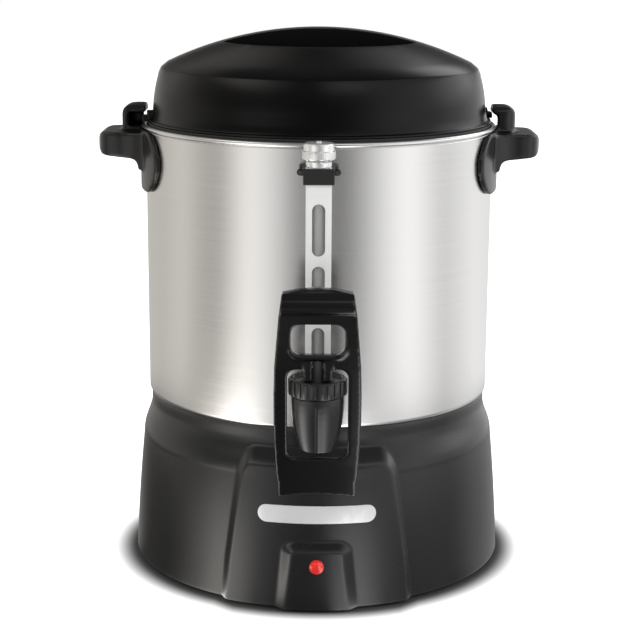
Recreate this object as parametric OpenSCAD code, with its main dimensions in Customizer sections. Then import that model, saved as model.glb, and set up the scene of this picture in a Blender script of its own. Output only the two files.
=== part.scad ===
// Coffee urn: a percolator with a twist-lock lid, a sight gauge and a cup-press tap.
// The origin is on the tank's axis, in the plane that the feet stand on. +Z is up and the tap faces -Y.

/* [Tank] */
// Outer diameter of the tank
tank_d = 226; // [210:1:240]
// Height of the tank from its underside to the top of its rim
tank_h = 176.2; // [165:0.1:190]
// Wall of the tank
tank_wall = 1; // [0.8:0.1:1.4]
// Radius of the tank's lower edge
tank_edge_r = 2.5; // [1.5:0.1:4]
// Thickness of the rolled rim
rim_t = 3.2; // [2.6:0.1:3.8]

/* [Base] */
// Height of the tank's underside above the table
base_h = 113; // [108:0.5:120]
// Diameter of the base at its foot
base_d = 246.4; // [240:0.2:256]
// Diameter of the base below its shoulder
shoulder_d = 234.4; // [230:0.2:238]
// Diameter of the neck that the tank stands on
neck_d = 223.2; // [220:0.2:225]
// Height of the neck
neck_h = 7; // [4:0.5:9]
// Height of the rounded shoulder
shoulder_h = 23; // [18:0.5:28]
// How far the skirt bulges from a straight taper
skirt_bulge = 0.6; // [0:0.1:2]
// Wall of the base
base_wall = 3; // [2.5:0.1:4]
// Inner diameter of the shelf under the tank
shelf_d = 170; // [160:1:190]
// Thickness of the base's lower flange
flange_t = 3; // [2.5:0.1:4]
// Inner diameter of the lower flange
flange_d = 192; // [180:1:194]

/* [Feet and bottom cover] */
// How far the rubber feet stand out of the base
foot_h = 2; // [1.6:0.1:2.6]
// Diameter of a foot
foot_d = 17.2; // [12:0.2:19]
// Depth of a foot's recess
foot_recess = 1.5; // [1:0.1:1.8]
// Radius of the circle of feet
foot_ring_r = 109; // [107:0.5:110]
// Diameter of the bottom cover
cover_d = 204; // [198:1:210]
// Thickness of the bottom cover
cover_t = 1.2; // [0.8:0.1:2]
// Diameter of the tie rod
tie_d = 5; // [4:0.1:6]
// Width of the vent slots
vent_w = 4.5; // [3:0.5:6]

/* [Front panels] */
// How far the arch panel stands proud of the skirt
panel_proud = 4; // [2:0.2:5]
// Width of the arch panel at its foot
panel_w = 114; // [100:1:120]
// Width of the arch panel at its shoulders
panel_top_w = 92; // [84:1:96]
// Height of the arch panel
panel_h = 104; // [98:0.5:110]
// How far the lamp panel stands proud of the arch panel
lamp_panel_proud = 4.5; // [3:0.1:6]
// Width of the lamp panel at its foot
lamp_panel_w = 46; // [40:1:56]
// Width of the lamp panel at its top
lamp_panel_top_w = 38; // [32:1:44]
// Height of the lamp panel
lamp_panel_h = 45.6; // [42:0.2:50]
// Width of the badge plate
badge_w = 73; // [60:1:76]
// Height of the badge plate
badge_h = 10.9; // [8:0.1:14]
// Thickness of the badge plate
badge_t = 1; // [0.6:0.1:1.6]
// Height of the badge's centre
badge_z = 61.5; // [58:0.5:66]
// Diameter of the pilot lens
lens_d = 9.2; // [7:0.1:12]
// How far the pilot lens stands out
lens_out = 3.4; // [2:0.1:5]
// Height of the pilot lens
lens_z = 30.3; // [24:0.1:34]

/* [Power inlet] */
// Width of the inlet's opening
inlet_w = 28; // [24:0.5:32]
// Height of the inlet's opening
inlet_h = 20; // [18:0.5:24]
// Depth of the inlet's housing
inlet_depth = 24; // [18:0.5:30]
// Width of the inlet's flange beyond its housing
inlet_lip = 7; // [6:0.5:9]
// Height of the inlet's centre
inlet_z = 34; // [28:0.5:40]

/* [Lid] */
// Radius of the lid's flange
lid_flange_r = 111.8; // [111.4:0.1:112.4]
// Thickness of the lid's flange
lid_flange_t = 1.3; // [1:0.1:2]
// Radius of the lid's skirt at its foot
lid_skirt_r = 108.7; // [107:0.1:109.5]
// Radius of the lid at its crease
lid_crease_r = 102.8; // [98:0.1:104]
// Height of the crease above the flange
lid_crease_h = 34; // [30:0.5:40]
// Height of the dome above the crease
lid_dome_h = 25.6; // [22:0.2:32]
// Radius of the dome
lid_dome_r = 230; // [220:1:260]
// Wall of the lid
lid_wall = 2.5; // [2:0.1:3]
// Radius of the finger scoops
scoop_r = 63; // [55:0.5:66]
// Depth of the finger scoops below the dome's top
scoop_depth = 28; // [22:0.5:30]
// Width of the grip bar
grip_w = 26; // [20:0.5:32]
// Depth of the lid's plug in the tank
plug_depth = 9; // [6:0.5:12]
// Thickness of the seal's lip
seal_lip_t = 1; // [0.8:0.1:1.4]
// Thickness of the seal round the plug
seal_t = 3.4; // [2.6:0.1:4]

/* [Lid lock] */
// Width of a lug
lug_w = 10; // [8:0.5:11]
// Gap between a lug and the hook's roof when the lid is locked
lug_gap = 0.5; // [0.3:0.1:1.2]
// Radius that a lug reaches
lug_r = 115.4; // [115:0.1:118]
// Angle of the lugs in front of the hooks when the lid is open
lug_angle = 8.9; // [8.8:0.1:12]
// Width of a hook
hook_w = 22; // [20:0.5:22]
// Wall of a hook
hook_wall = 4; // [3:0.1:5]
// Height of a lug's outer end, which turns in under a hook
lug_h = 4.1; // [3:0.1:6]
// Height of a lug's inner end, beside the lid
lug_boss_h = 7; // [5:0.1:8]
// Height of a hook's domed top over the slot
hook_dome_h = 6; // [4:0.2:8]
// Radius of a hook's outer face
hook_r = 128; // [125:0.1:130]
// Radius that a hook's roof reaches in to
hook_roof_r = 112.6; // [112.4:0.1:114]

/* [Handles] */
// Distance of a grip's outer face from the tank's axis
grip_reach = 143.4; // [140:0.2:147]
// Depth of a grip from front to back at its outer end
grip_l = 48; // [42:0.5:52]
// Thickness of a grip at its outer end
grip_t = 15.2; // [13:0.2:19]
// Radius of the grip's corners
grip_corner_r = 10; // [6:0.5:11]
// Thickness of the plate against the tank
plate_t = 3.6; // [3:0.1:5]
// Distance of the plate's widest point from the side of the tank
plate_half_w = 55.2; // [52:0.4:60]
// Height of the plate that lies on the tank
plate_drop = 40.4; // [34:0.4:46]
// Drop from the tank's rim to the top of the grip
grip_drop = 5.2; // [4:0.2:8]
// Diameter of the handle screws
handle_screw_d = 4; // [3:0.1:5]

/* [Sight gauge] */
// Distance of the glass's axis from the tank's wall
gauge_reach = 12.5; // [12.2:0.1:14]
// Outer diameter of the glass
glass_d = 10; // [8:0.1:10.6]
// Wall of the glass
glass_wall = 1.1; // [0.8:0.1:1.5]
// Width of the shield
shield_w = 15.2; // [14.4:0.1:16]
// Sheet thickness of the shield
shield_t = 1; // [0.6:0.1:1.2]
// Width of a slot in the shield
slot_w = 7.7; // [5:0.1:8.5]
// Length of a slot in the shield
slot_l = 31; // [20:0.5:33]
// Distance from one slot to the next
slot_pitch = 37; // [35:0.5:37.5]
// Drop from the shield's top to its first slot
slot_drop = 21; // [16:0.5:22]
// Diameter of the cap's ring
cap_d = 19.6; // [18.5:0.1:20.5]
// Height of the cap
cap_h = 15.2; // [14.4:0.2:18]
// Drop from the tank's rim to the shield's top
shield_drop = 13; // [12:0.2:18]
// Height of the collar
collar_h = 9.5; // [8:0.1:12]
// Thickness of the collar
collar_t = 1.5; // [1.2:0.1:2]

/* [Tap] */
// Distance of the tap's axis from the tank's wall
tap_reach = 37; // [37:0.5:42]
// Height of the shank above the tank's underside
shank_rise = 17; // [16:0.5:22]
// Outer diameter of the shank's thread
shank_d = 17; // [15:0.1:18]
// Bore of the shank
shank_bore_d = 10; // [7:0.1:11]
// Diameter of the shank's flange
shank_flange_d = 27; // [24:0.5:30]
// Height of the spout's mouth below the shank's axis
spout_drop = 17.5; // [16:0.5:20]
// Diameter of the spout's mouth
spout_d = 20.8; // [20:0.2:24]
// Diameter of the valve body at its top
body_d = 32; // [30:0.2:34]
// Bore of the spout
outlet_d = 13; // [10:0.2:14]
// Bore of the valve chamber
chamber_d = 22; // [20:0.2:23]
// Diameter of the bonnet
bonnet_d = 35; // [34:0.2:35.2]
// Height of the bonnet
bonnet_h = 10.3; // [9:0.1:12]
// Number of grip grooves round the bonnet
bonnet_grooves = 22; // [16:1:32]
// Diameter of the valve stem
stem_d = 6.4; // [5:0.1:6.6]
// Diameter of the lever's pin
pin_d = 2.6; // [2:0.1:3]
// Height of the lever's pin above the shank's axis
pin_rise = 32; // [31.5:0.1:34]
// Wire of the valve spring
spring_wire = 1.2; // [0.8:0.1:1.4]
// Turns of the valve spring
spring_turns = 6; // [4:1:7]

/* [Lever] */
// Thickness of the lever's frame
lever_t = 4.6; // [4:0.1:5.2]
// Width of the lever's frame at its widest
lever_w = 51.6; // [49:0.2:54]
// Width of the lever's lower opening
lever_gap = 35.8; // [35.4:0.2:40]
// Width of the hood
hood_w = 42; // [38:0.5:44]
// Height of the hood's top above the pin
hood_rise = 49.4; // [47:0.1:52]
// Depth of the press plate below the pin
plate_low = 80.1; // [76:0.1:86]
// Height of the press plate
press_h = 23.9; // [20:0.1:28]
// Width of the yoke that holds the stem's head
yoke_w = 16.4; // [14:0.2:18]

/* [Heater] */
// Outer diameter of the pump well
well_d = 40; // [36:0.5:44]
// Depth of the pump well
well_depth = 15; // [12:0.5:18]
// Wall of the pump well
well_wall = 1.5; // [1:0.1:2]
// Thickness of the heater block
heater_t = 8; // [6:0.5:10]
// Radius of the warming element's ring
warmer_ring_r = 62; // [50:1:70]
// Diameter of the warming element's tube
warmer_d = 6.4; // [5:0.2:8]
// Diameter of the thermostat
thermostat_d = 17; // [14:0.5:20]
// Height of the thermostat
thermostat_h = 9; // [7:0.5:12]

/* [Basket and pump] */
// Outer diameter of the basket
basket_d = 124; // [100:1:140]
// Height of the basket
basket_h = 66; // [50:1:72]
// Sheet thickness of the basket
basket_t = 0.9; // [0.7:0.1:1.4]
// Height of the basket's floor above the tank's floor
basket_rise = 82; // [70:1:86]
// Outer diameter of the pump's tube
pump_d = 9.6; // [8:0.1:11]
// Wall of the pump's tube
pump_wall = 0.8; // [0.6:0.1:1.2]
// Length of the pump's tube
pump_l = 176; // [170:1:180]
// Diameter of the holes in the basket and its cover
strain_hole_d = 3; // [2:0.1:4]
// Holes in the outermost ring
strain_holes = 24; // [12:1:28]

/* [Hidden] */

// Facets of a full turn, and of a small one
round_fn = 120;
small_fn = 48;
// Clearances: a running fit, a loose fit inside one body, and the gap between two bodies
run_gap = 0.06;
fit_gap = 0.1;
free_gap = 0.3;

tank_r = tank_d / 2;
tank_in_r = tank_r - tank_wall;
tank_floor_z = base_h + tank_wall;
rim_z = base_h + tank_h;
neck_r = neck_d / 2;
shoulder_r = shoulder_d / 2;
neck_z = base_h - neck_h;
shoulder_z = neck_z - shoulder_h;
edge_r = 1;
shelf_t = base_wall;
flange_top_z = foot_h + flange_t;
cover_top_z = flange_top_z + cover_t;

lid_z = rim_z + free_gap + seal_lip_t + free_gap;
lid_top_z = lid_z + lid_crease_h + lid_dome_h;
plug_r = tank_in_r - free_gap - seal_t - free_gap;
scoop_z = lid_top_z - scoop_depth;

grip_z = rim_z - grip_drop;
plate_top_z = rim_z - 2.2;
plate_bottom_z = plate_top_z - plate_drop;
lug_z = lid_z;
hook_roof_z = lug_z + lug_h + lug_gap;
hook_top_z = hook_roof_z + hook_dome_h;
hook_stop_r = tank_r + 2.4;

gauge_y = -(tank_r + gauge_reach);
shield_top_z = rim_z - shield_drop;
shank_z = base_h + shank_rise;
socket_rise = 15;
socket_top_z = shank_z + socket_rise;
shield_front_y = gauge_y - glass_d / 2 - shield_t - free_gap - fit_gap;

tap_y = -(tank_r + tap_reach);
spout_z = shank_z - spout_drop;
seat_z = shank_z - 6;
body_top_z = shank_z + 15.7;
thread_top_z = body_top_z + 4.3;
bonnet_z = body_top_z + free_gap;
bonnet_top_z = bonnet_z + bonnet_h;
bonnet_plate_z = thread_top_z + free_gap;
dish_z = bonnet_plate_z + 2.7;
pin_z = shank_z + pin_rise;
stem_flange_z = seat_z + free_gap + 6;
stem_flange_t = 1.5;

well_r = well_d / 2;
well_top_z = tank_floor_z + seal_lip_t;
well_bottom_z = well_top_z - well_depth;
heater_z = well_bottom_z - heater_t;
basket_z = tank_floor_z + basket_rise;
basket_r = basket_d / 2;
pump_r = pump_d / 2;
pump_z = well_bottom_z + well_wall + 4;

// Points of an arc
function arc(x, y, r, from, to, steps = 8) =
    [for (i = [0:steps]) let (a = from + (to - from) * i / steps) [x + r * cos(a), y + r * sin(a)]];

// A value between two others, eased at both ends
function eased(from, to, t) = from + (to - from) * (1 - cos(180 * t)) / 2;

// Draws an outline in X and Z, from y_front back over a depth
module cut_y(y_front, depth) {
    translate([0, y_front + depth, 0]) rotate([90, 0, 0]) linear_extrude(depth) children();
}

// Draws an outline in Y and Z, over a width centred on X
module cut_x(width) {
    rotate([90, 0, 90]) translate([0, 0, -width / 2]) linear_extrude(width) children();
}

// A cylinder along Y, from y_front back over a length
module rod_y(r, y_front, length, sides = small_fn) {
    translate([0, y_front, 0]) rotate([-90, 0, 0]) cylinder(r = r, h = length, $fn = sides);
}

// A tube standing on a height
module tube(outer_r, inner_r, z, h, sides = small_fn) {
    translate([0, 0, z]) difference() {
        cylinder(r = outer_r, h = h, $fn = sides);
        translate([0, 0, -1]) cylinder(r = inner_r, h = h + 2, $fn = sides);
    }
}

// The direction of travel at a point of a way
function heading(p, i) = let (d = p[min(i + 1, len(p) - 1)] - p[max(i - 1, 0)]) d / norm(d);

// A smooth way through a list of points, with steps between each pair
function smooth_way(p, steps) = concat([for (i = [0:len(p) - 2], s = [0:steps - 1])
    let (b = p[i], c = p[i + 1], reach = norm(c - b), t = s / steps)
    b * (2 * t * t * t - 3 * t * t + 1) + heading(p, i) * reach * (t * t * t - 2 * t * t + t)
        + c * (3 * t * t - 2 * t * t * t) + heading(p, i + 1) * reach * (t * t * t - t * t)],
    [p[len(p) - 1]]);

// A round wire along a way
module wire(points, r, steps = 5, sides = 8) {
    way = smooth_way(points, steps);
    last = len(way) - 1;
    upright = [0.31, 0.9, 0.3];
    rings = [for (i = [0:last], j = [0:sides - 1])
        let (dir = i == 0 ? heading(points, 0) : i == last ? heading(points, len(points) - 1)
                : way[i + 1] - way[i - 1],
            u = cross(dir, upright) / norm(cross(dir, upright)),
            v = cross(dir / norm(dir), u), a = 360 * j / sides)
        way[i] + r * (cos(a) * u + sin(a) * v)];
    walls = [for (i = [0:last - 1], j = [0:sides - 1]) let (k = (j + 1) % sides)
        [i * sides + j, (i + 1) * sides + j, (i + 1) * sides + k, i * sides + k]];
    polyhedron(rings, concat(walls, [[for (j = [0:sides - 1]) j]],
        [[for (j = [sides - 1:-1:0]) last * sides + j]]));
}

// ---- Base ----

// The skirt's radius at a height
function skirt_r(z) =
    z >= neck_z ? neck_r
    : z >= shoulder_z ? eased(shoulder_r, neck_r, (z - shoulder_z) / shoulder_h)
    : let (t = (z - foot_h) / (shoulder_z - foot_h))
        base_d / 2 + (shoulder_r - base_d / 2) * t + skirt_bulge * sin(180 * t);

skirt_heights = concat(
    [for (i = [0:6]) foot_h + edge_r + (shoulder_z - foot_h - edge_r) * i / 7],
    [for (i = [0:8]) shoulder_z + shoulder_h * i / 8],
    [base_h]);

// The skirt as a solid, grown outwards by a distance
module skirt(grown = 0) {
    rotate_extrude($fn = round_fn)
        polygon(concat([[0, foot_h], [skirt_r(foot_h) + grown - edge_r, foot_h]],
            [for (z = skirt_heights) [skirt_r(z) + grown, z]], [[0, base_h]]));
}

// An arch with rounded shoulders that narrows towards the front
module arch(low_w, top_w, height, corner_r, y_back, depth, front_w, front_h) {
    translate([0, y_back, 0]) rotate([90, 0, 0])
        linear_extrude(depth, scale = [front_w, front_h])
            polygon(concat([[-low_w / 2, 0], [low_w / 2, 0]],
                arc(top_w / 2 - corner_r, height - corner_r, corner_r, 0, 90, 6),
                arc(-top_w / 2 + corner_r, height - corner_r, corner_r, 90, 180, 6)));
}

module arch_panel(grown) {
    intersection() {
        skirt(grown);
        arch(panel_w + 4, panel_top_w + 4, panel_h, 14, -base_d / 2 + panel_back, 2 * panel_back,
            0.75, 0.69);
    }
}

module lamp_panel(grown) {
    intersection() {
        skirt(grown);
        arch(lamp_panel_w + 16, lamp_panel_top_w + 16, lamp_panel_h + 4, 9, -base_d / 2 + 1.2, 14,
            0.34, 0.72);
    }
}

panel_back = shoulder_h * 0.57;
panel_grown = panel_proud;
lamp_grown = panel_proud + lamp_panel_proud;
lamp_face_y = -(skirt_r(lens_z) + lamp_grown);
lens_back_y = -(skirt_r(lens_z - lens_d / 2) + lamp_grown) - fit_gap / 2;
inlet_lip_low = inlet_z - inlet_h / 2 - 4;
inlet_lip_high = inlet_z + inlet_h / 2 + 4;
inlet_face_y = max(skirt_r(inlet_lip_low), skirt_r(inlet_lip_high)) + 2;

module base_shell() {
    color([0.13, 0.13, 0.135]) difference() {
        union() {
            skirt();
            arch_panel(panel_grown);
            lamp_panel(lamp_grown);
            inlet_pad();
        }
        rotate_extrude($fn = round_fn)
            polygon(concat([[0, flange_top_z], [skirt_r(flange_top_z) - base_wall, flange_top_z]],
                [for (z = skirt_heights) if (z > flange_top_z && z < base_h - shelf_t - 1)
                    [skirt_r(z) - base_wall, z]],
                [[neck_r - base_wall, base_h - shelf_t], [0, base_h - shelf_t]]));
        translate([0, 0, base_h - shelf_t - 1])
            cylinder(d = shelf_d, h = shelf_t + 2, $fn = round_fn);
        translate([0, 0, foot_h - 1]) cylinder(d = flange_d, h = flange_t + 2, $fn = round_fn);
        feet_at() translate([0, 0, foot_h - 1])
            cylinder(d = foot_d + 2 * free_gap, h = foot_recess + 1, $fn = small_fn);
        translate([0, 0, lens_z]) rod_y(lens_d / 2 - 0.4, lamp_face_y - 1, 30);
        inlet_opening(fit_gap);
    }
}

module feet_at() {
    for (a = [45:90:315]) rotate([0, 0, a]) translate([foot_ring_r, 0, 0]) children();
}

module rubber_feet() {
    color([0.08, 0.08, 0.08]) feet_at()
        cylinder(d = foot_d, h = foot_h + foot_recess, $fn = small_fn);
}

module bottom_cover() {
    vent_in_r = 34;
    vent_out_r = 80;
    color([0.62, 0.63, 0.64]) translate([0, 0, flange_top_z]) difference() {
        cylinder(d = cover_d, h = cover_t, $fn = round_fn);
        translate([0, 0, -1]) cylinder(d = tie_d + 2 * fit_gap, h = cover_t + 2, $fn = small_fn);
        for (a = [0:30:330]) rotate([0, 0, a])
            translate([vent_in_r, -vent_w / 2, -1]) cube([vent_out_r - vent_in_r, vent_w, cover_t + 2]);
    }
}

module badge_plate() {
    end_r = badge_h / 2;
    color([0.78, 0.79, 0.8]) intersection() {
        difference() {
            skirt(panel_grown + fit_gap / 2 + badge_t);
            skirt(panel_grown + fit_gap / 2);
        }
        cut_y(-base_d, base_d) translate([0, badge_z])
            polygon(concat(arc(badge_w / 2 - end_r, 0, end_r, -90, 90, 12),
                arc(-badge_w / 2 + end_r, 0, end_r, 90, 270, 12)));
    }
}

module pilot_lens() {
    color([0.85, 0.06, 0.05]) translate([0, lens_back_y, lens_z]) rotate([90, 0, 0]) {
        cylinder(d = lens_d, h = lens_out * 0.45, $fn = 12);
        translate([0, 0, lens_out * 0.45])
            cylinder(d1 = lens_d, d2 = lens_d * 0.45, h = lens_out * 0.55, $fn = 12);
    }
}

module pilot_lamp() {
    body_r = lens_d / 2 - 0.5;
    nut_y = lamp_face_y + lamp_grown + base_wall + 2;
    color([0.85, 0.84, 0.8]) translate([0, 0, lens_z]) {
        rod_y(body_r, lens_back_y, 24);
        difference() {
            rod_y(body_r + 3, nut_y, 2, 6);
            rod_y(body_r, nut_y - 1, 4);
        }
    }
}

module inlet_pad() {
    pad_w = inlet_w + 2 * inlet_lip;
    pad_h = inlet_h + 10;
    translate([-pad_w / 2, inlet_face_y - 15, inlet_z - pad_h / 2]) cube([pad_w, 15, pad_h]);
}

module inlet_opening(gap) {
    translate([-inlet_w / 2 - gap, inlet_face_y - inlet_depth - 6, inlet_z - inlet_h / 2 - gap])
        cube([inlet_w + 2 * gap, inlet_depth + 16, inlet_h + 2 * gap]);
    inlet_screws_at() rod_y(1.2, inlet_face_y - 9, inlet_depth);
}

module inlet_screws_at() {
    for (side = [-1, 1])
        translate([side * (inlet_w / 2 + inlet_lip / 2), 0, inlet_z]) children();
}

module power_inlet() {
    lip_t = 2;
    color([0.1, 0.1, 0.1]) difference() {
        union() {
            translate([-inlet_w / 2, inlet_face_y - inlet_depth, inlet_z - inlet_h / 2])
                cube([inlet_w, inlet_depth + 1, inlet_h]);
            translate([-inlet_w / 2 - inlet_lip, inlet_face_y, inlet_z - inlet_h / 2 - 4])
                cube([inlet_w + 2 * inlet_lip, lip_t, inlet_h + 8]);
        }
        translate([-inlet_w / 2 + 2, inlet_face_y - inlet_depth + 4, inlet_z - inlet_h / 2 + 2])
            cube([inlet_w - 4, inlet_depth + lip_t, inlet_h - 4]);
        inlet_pins_at(0.05);
        inlet_screws_at() rod_y(1.6, inlet_face_y - 1, 5);
    }
}

module inlet_pins_at(gap) {
    for (p = [[-7, -1.5], [0, 2.5], [7, -1.5]])
        translate([p[0] - 1 - gap, inlet_face_y - inlet_depth - 8, inlet_z + p[1] - 2 - gap])
            cube([2 + 2 * gap, inlet_depth + 4, 4 + 2 * gap]);
}

module inlet_pins() {
    color([0.78, 0.62, 0.3]) inlet_pins_at(0);
}

module inlet_screws() {
    color([0.7, 0.7, 0.7]) inlet_screws_at() {
        rod_y(1.15, inlet_face_y - 8, 10);
        rod_y(2.6, inlet_face_y + 2, 1.4);
    }
}

module tie_rod() {
    color([0.7, 0.7, 0.72]) translate([0, 0, foot_h + 0.5])
        cylinder(d = tie_d, h = heater_z - foot_h - 0.5, $fn = small_fn);
}

module tie_nut() {
    nut_h = 2.6;
    color([0.7, 0.7, 0.72]) translate([0, 0, flange_top_z - nut_h]) difference() {
        cylinder(r = tie_d, h = nut_h, $fn = 6);
        translate([0, 0, -1]) cylinder(r = tie_d / 2 + fit_gap / 2, h = nut_h + 2, $fn = small_fn);
    }
}

// ---- Tank ----

module tank() {
    color([0.8, 0.8, 0.8]) difference() {
        union() {
            rotate_extrude($fn = round_fn)
                polygon(concat([[0, base_h]],
                    arc(tank_r - tank_edge_r, base_h + tank_edge_r, tank_edge_r, -90, 0, 5),
                    [[tank_r, rim_z - rim_t / 2], [tank_in_r, rim_z - rim_t / 2]],
                    arc(tank_r - tank_edge_r, base_h + tank_edge_r, tank_edge_r - tank_wall, 0, -90, 5),
                    [[0, tank_floor_z]]));
            rotate_extrude($fn = round_fn) translate([tank_in_r + rim_t / 2, rim_z - rim_t / 2])
                circle(d = rim_t, $fn = 24);
        }
        translate([0, 0, base_h - 1]) cylinder(r = well_r + fit_gap, h = 4, $fn = small_fn);
        translate([0, 0, shank_z]) rod_y(shank_d / 2 + fit_gap, -tank_r - 5, 20);
        handle_screws_at() rod_y(handle_screw_d / 2 + fit_gap, -tank_r - 2, 10);
    }
}

// ---- Handles ----

// A place on each side of the tank for each handle's two screws
screw_angle = 7;
screw_drop = 10;

module handle_screws_at() {
    for (side = [90, 270], a = [-screw_angle, screw_angle])
        rotate([0, 0, side + a]) translate([0, 0, grip_z - screw_drop]) children();
}

module handle_screws() {
    head_r = handle_screw_d;
    color([0.7, 0.7, 0.72]) handle_screws_at() {
        rod_y(handle_screw_d / 2, -tank_r - 9, 9 + tank_wall + 0.3);
        rod_y(head_r, -tank_in_r + 0.3, 2.4);
    }
}

// The left handle's outline seen from above, beyond the tank's wall
module grip_plan() {
    outer = -grip_reach;
    half = grip_l / 2;
    flare_r = 26;
    waist = outer + 13;
    half_outline = concat([[outer, 0], [outer + 0.4, half * 0.5]],
        arc(outer + 1.5 + grip_corner_r, half - grip_corner_r, grip_corner_r, 180, 95, 6),
        arc(waist, half + flare_r + 0.5, flare_r, -90, -35, 6),
        [[-tank_r * 0.72, plate_half_w * 0.94], [-tank_r * 0.72, 0]]);
    polygon(half_outline);
    mirror([0, 1]) polygon(half_outline);
}

// The left handle's outline seen from the front
module grip_front() {
    low_z = grip_z - grip_t;
    fillet_r = 4.5;
    polygon(concat(
        arc(-grip_reach + 5, grip_z - 5, 5, 180, 90, 5),
        [[-tank_r * 0.7, grip_z], [-tank_r * 0.7, low_z - 10]],
        [[-tank_r - plate_t + 0.3, low_z - fillet_r - 4]],
        arc(-tank_r - plate_t - fillet_r, low_z - fillet_r - 1.6, fillet_r, 5, 82, 6),
        arc(-grip_reach + 5, low_z + 5, 5, 262, 180, 5)));
}

// The plate's outline seen from the side
module plate_side() {
    top = plate_top_z;
    low = plate_bottom_z;
    mid = plate_bottom_z + plate_drop * 0.505;
    side = concat([[0, low]],
        [for (i = [0:6]) let (a = -84 + 14 * i)
            [plate_half_w * 0.56 + plate_half_w * 0.44 * cos(a), mid + (mid - low) * sin(a)]],
        [for (i = [1:6]) let (a = 12 * i)
            [plate_half_w * 0.55 + plate_half_w * 0.45 * cos(a), mid + (top - mid) * sin(a) / sin(72)]],
        [[0, top]]);
    polygon(side);
    mirror([1, 0]) polygon(side);
}

// A handle on the -X side, with its hook open to the front
module handle() {
    inside_r = tank_r + fit_gap;
    difference() {
        union() {
            intersection() {
                linear_extrude(grip_z + 1) grip_plan();
                cut_y(-grip_reach, 2 * grip_reach) grip_front();
            }
            intersection() {
                tube(tank_r + plate_t, tank_r - 5, 0, plate_top_z + 1, round_fn);
                translate([-tank_r, 0, 0]) cut_x(tank_r) plate_side();
            }
            hook();
        }
        translate([0, 0, -1]) cylinder(r = inside_r, h = rim_z - rim_t + 0.4, $fn = round_fn);
        translate([0, 0, rim_z - rim_t - 1])
            cylinder(r = tank_in_r + rim_t + fit_gap, h = 40, $fn = round_fn);
        handle_screws_at() rod_y(handle_screw_d / 2 + fit_gap / 2, -tank_r - 9.5, 12);
    }
    hook_roof();
}

// The hook's outline seen from above, with its closed corner well rounded
module hook_plan(inner_r) {
    half = hook_w / 2;
    closed_r = hook_wall + 4;
    polygon(concat([[-inner_r, -half]], arc(-hook_r + 2, -half + 2, 2, 270, 180, 4),
        arc(-hook_r + closed_r, half - closed_r, closed_r, 180, 90, 8), [[-inner_r, half]]));
}

// The hook's domed form, down to the grip, as far in as a radius
module hook_form(inner_r) {
    half = hook_w / 2;
    low = grip_z - 1;
    edge = hook_roof_z + hook_dome_h * 0.3;
    dome = [for (i = [0:6]) let (a = 15 * i) [1 - cos(a), sin(a)]];
    intersection() {
        translate([0, 0, low]) linear_extrude(hook_top_z - low) hook_plan(inner_r);
        cut_y(-hook_w, 2 * hook_w) polygon(concat([[-hook_r - 1, low], [-hook_r - 1, hook_roof_z]],
            [for (d = dome) [-hook_r + (hook_wall + 5) * d[0], hook_roof_z + hook_dome_h * d[1]]],
            [[-inner_r, hook_top_z], [-inner_r, low]]));
        translate([-hook_r, 0, 0]) cut_x(hook_w * 2) polygon(concat([[-half, low]],
            [for (d = dome) [-half + (half - 2) * d[0], edge + (hook_top_z - edge) * d[1]]],
            [for (i = [6:-1:0]) [half - (half - 2) * dome[i][0], edge + (hook_top_z - edge) * dome[i][1]]],
            [[half, low]]));
    }
}

// The hook's walls and floor, open towards the lid and to one side
module hook() {
    slot_r = hook_wall;
    difference() {
        hook_form(hook_stop_r);
        translate([0, 0, rim_z - 2.4]) linear_extrude(hook_roof_z - rim_z + 2.4)
            polygon(concat([[-tank_r + 5, -hook_w], [-hook_r + hook_wall, -hook_w]],
                arc(-hook_r + hook_wall + slot_r, hook_w / 2 - 3.5 - slot_r, slot_r, 180, 90, 6),
                [[-tank_r + 5, hook_w / 2 - 3.5]]));
    }
}

// The hook's roof reaches over the lug
module hook_roof() {
    intersection() {
        hook_form(hook_roof_r);
        translate([-hook_r - 1, -hook_w, hook_roof_z]) cube([hook_r, 2 * hook_w, hook_dome_h + 1]);
    }
}

module handle_left() {
    color([0.11, 0.11, 0.115]) handle();
}

module handle_right() {
    color([0.11, 0.11, 0.115]) rotate([0, 0, 180]) handle();
}

// ---- Sight gauge ----

module gauge_glass() {
    low_z = socket_top_z - 6;
    color([0.85, 0.92, 0.92, 0.35]) translate([0, gauge_y, 0])
        tube(glass_d / 2, glass_d / 2 - glass_wall, low_z, shield_top_z + 8 - low_z);
}

module gauge_shield() {
    low_z = socket_top_z + free_gap;
    side_depth = -shield_front_y - tank_r - 1.5;
    color([0.86, 0.86, 0.86]) difference() {
        translate([-shield_w / 2, shield_front_y, low_z])
            cube([shield_w, side_depth, shield_top_z - low_z]);
        translate([-shield_w / 2 + shield_t, shield_front_y + shield_t, low_z - 1])
            cube([shield_w - 2 * shield_t, side_depth, shield_top_z - low_z + 2]);
        for (i = [0:2]) translate([0, 0, shield_top_z - slot_drop - i * slot_pitch])
            cut_y(shield_front_y - 1, shield_t + 2) slot_outline();
    }
}

module slot_outline() {
    translate([0, -slot_w / 2]) circle(d = slot_w, $fn = 32);
    translate([0, -slot_l + slot_w / 2]) circle(d = slot_w, $fn = 32);
    translate([-slot_w / 2, -slot_l + slot_w / 2]) square([slot_w, slot_l - slot_w]);
}

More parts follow.
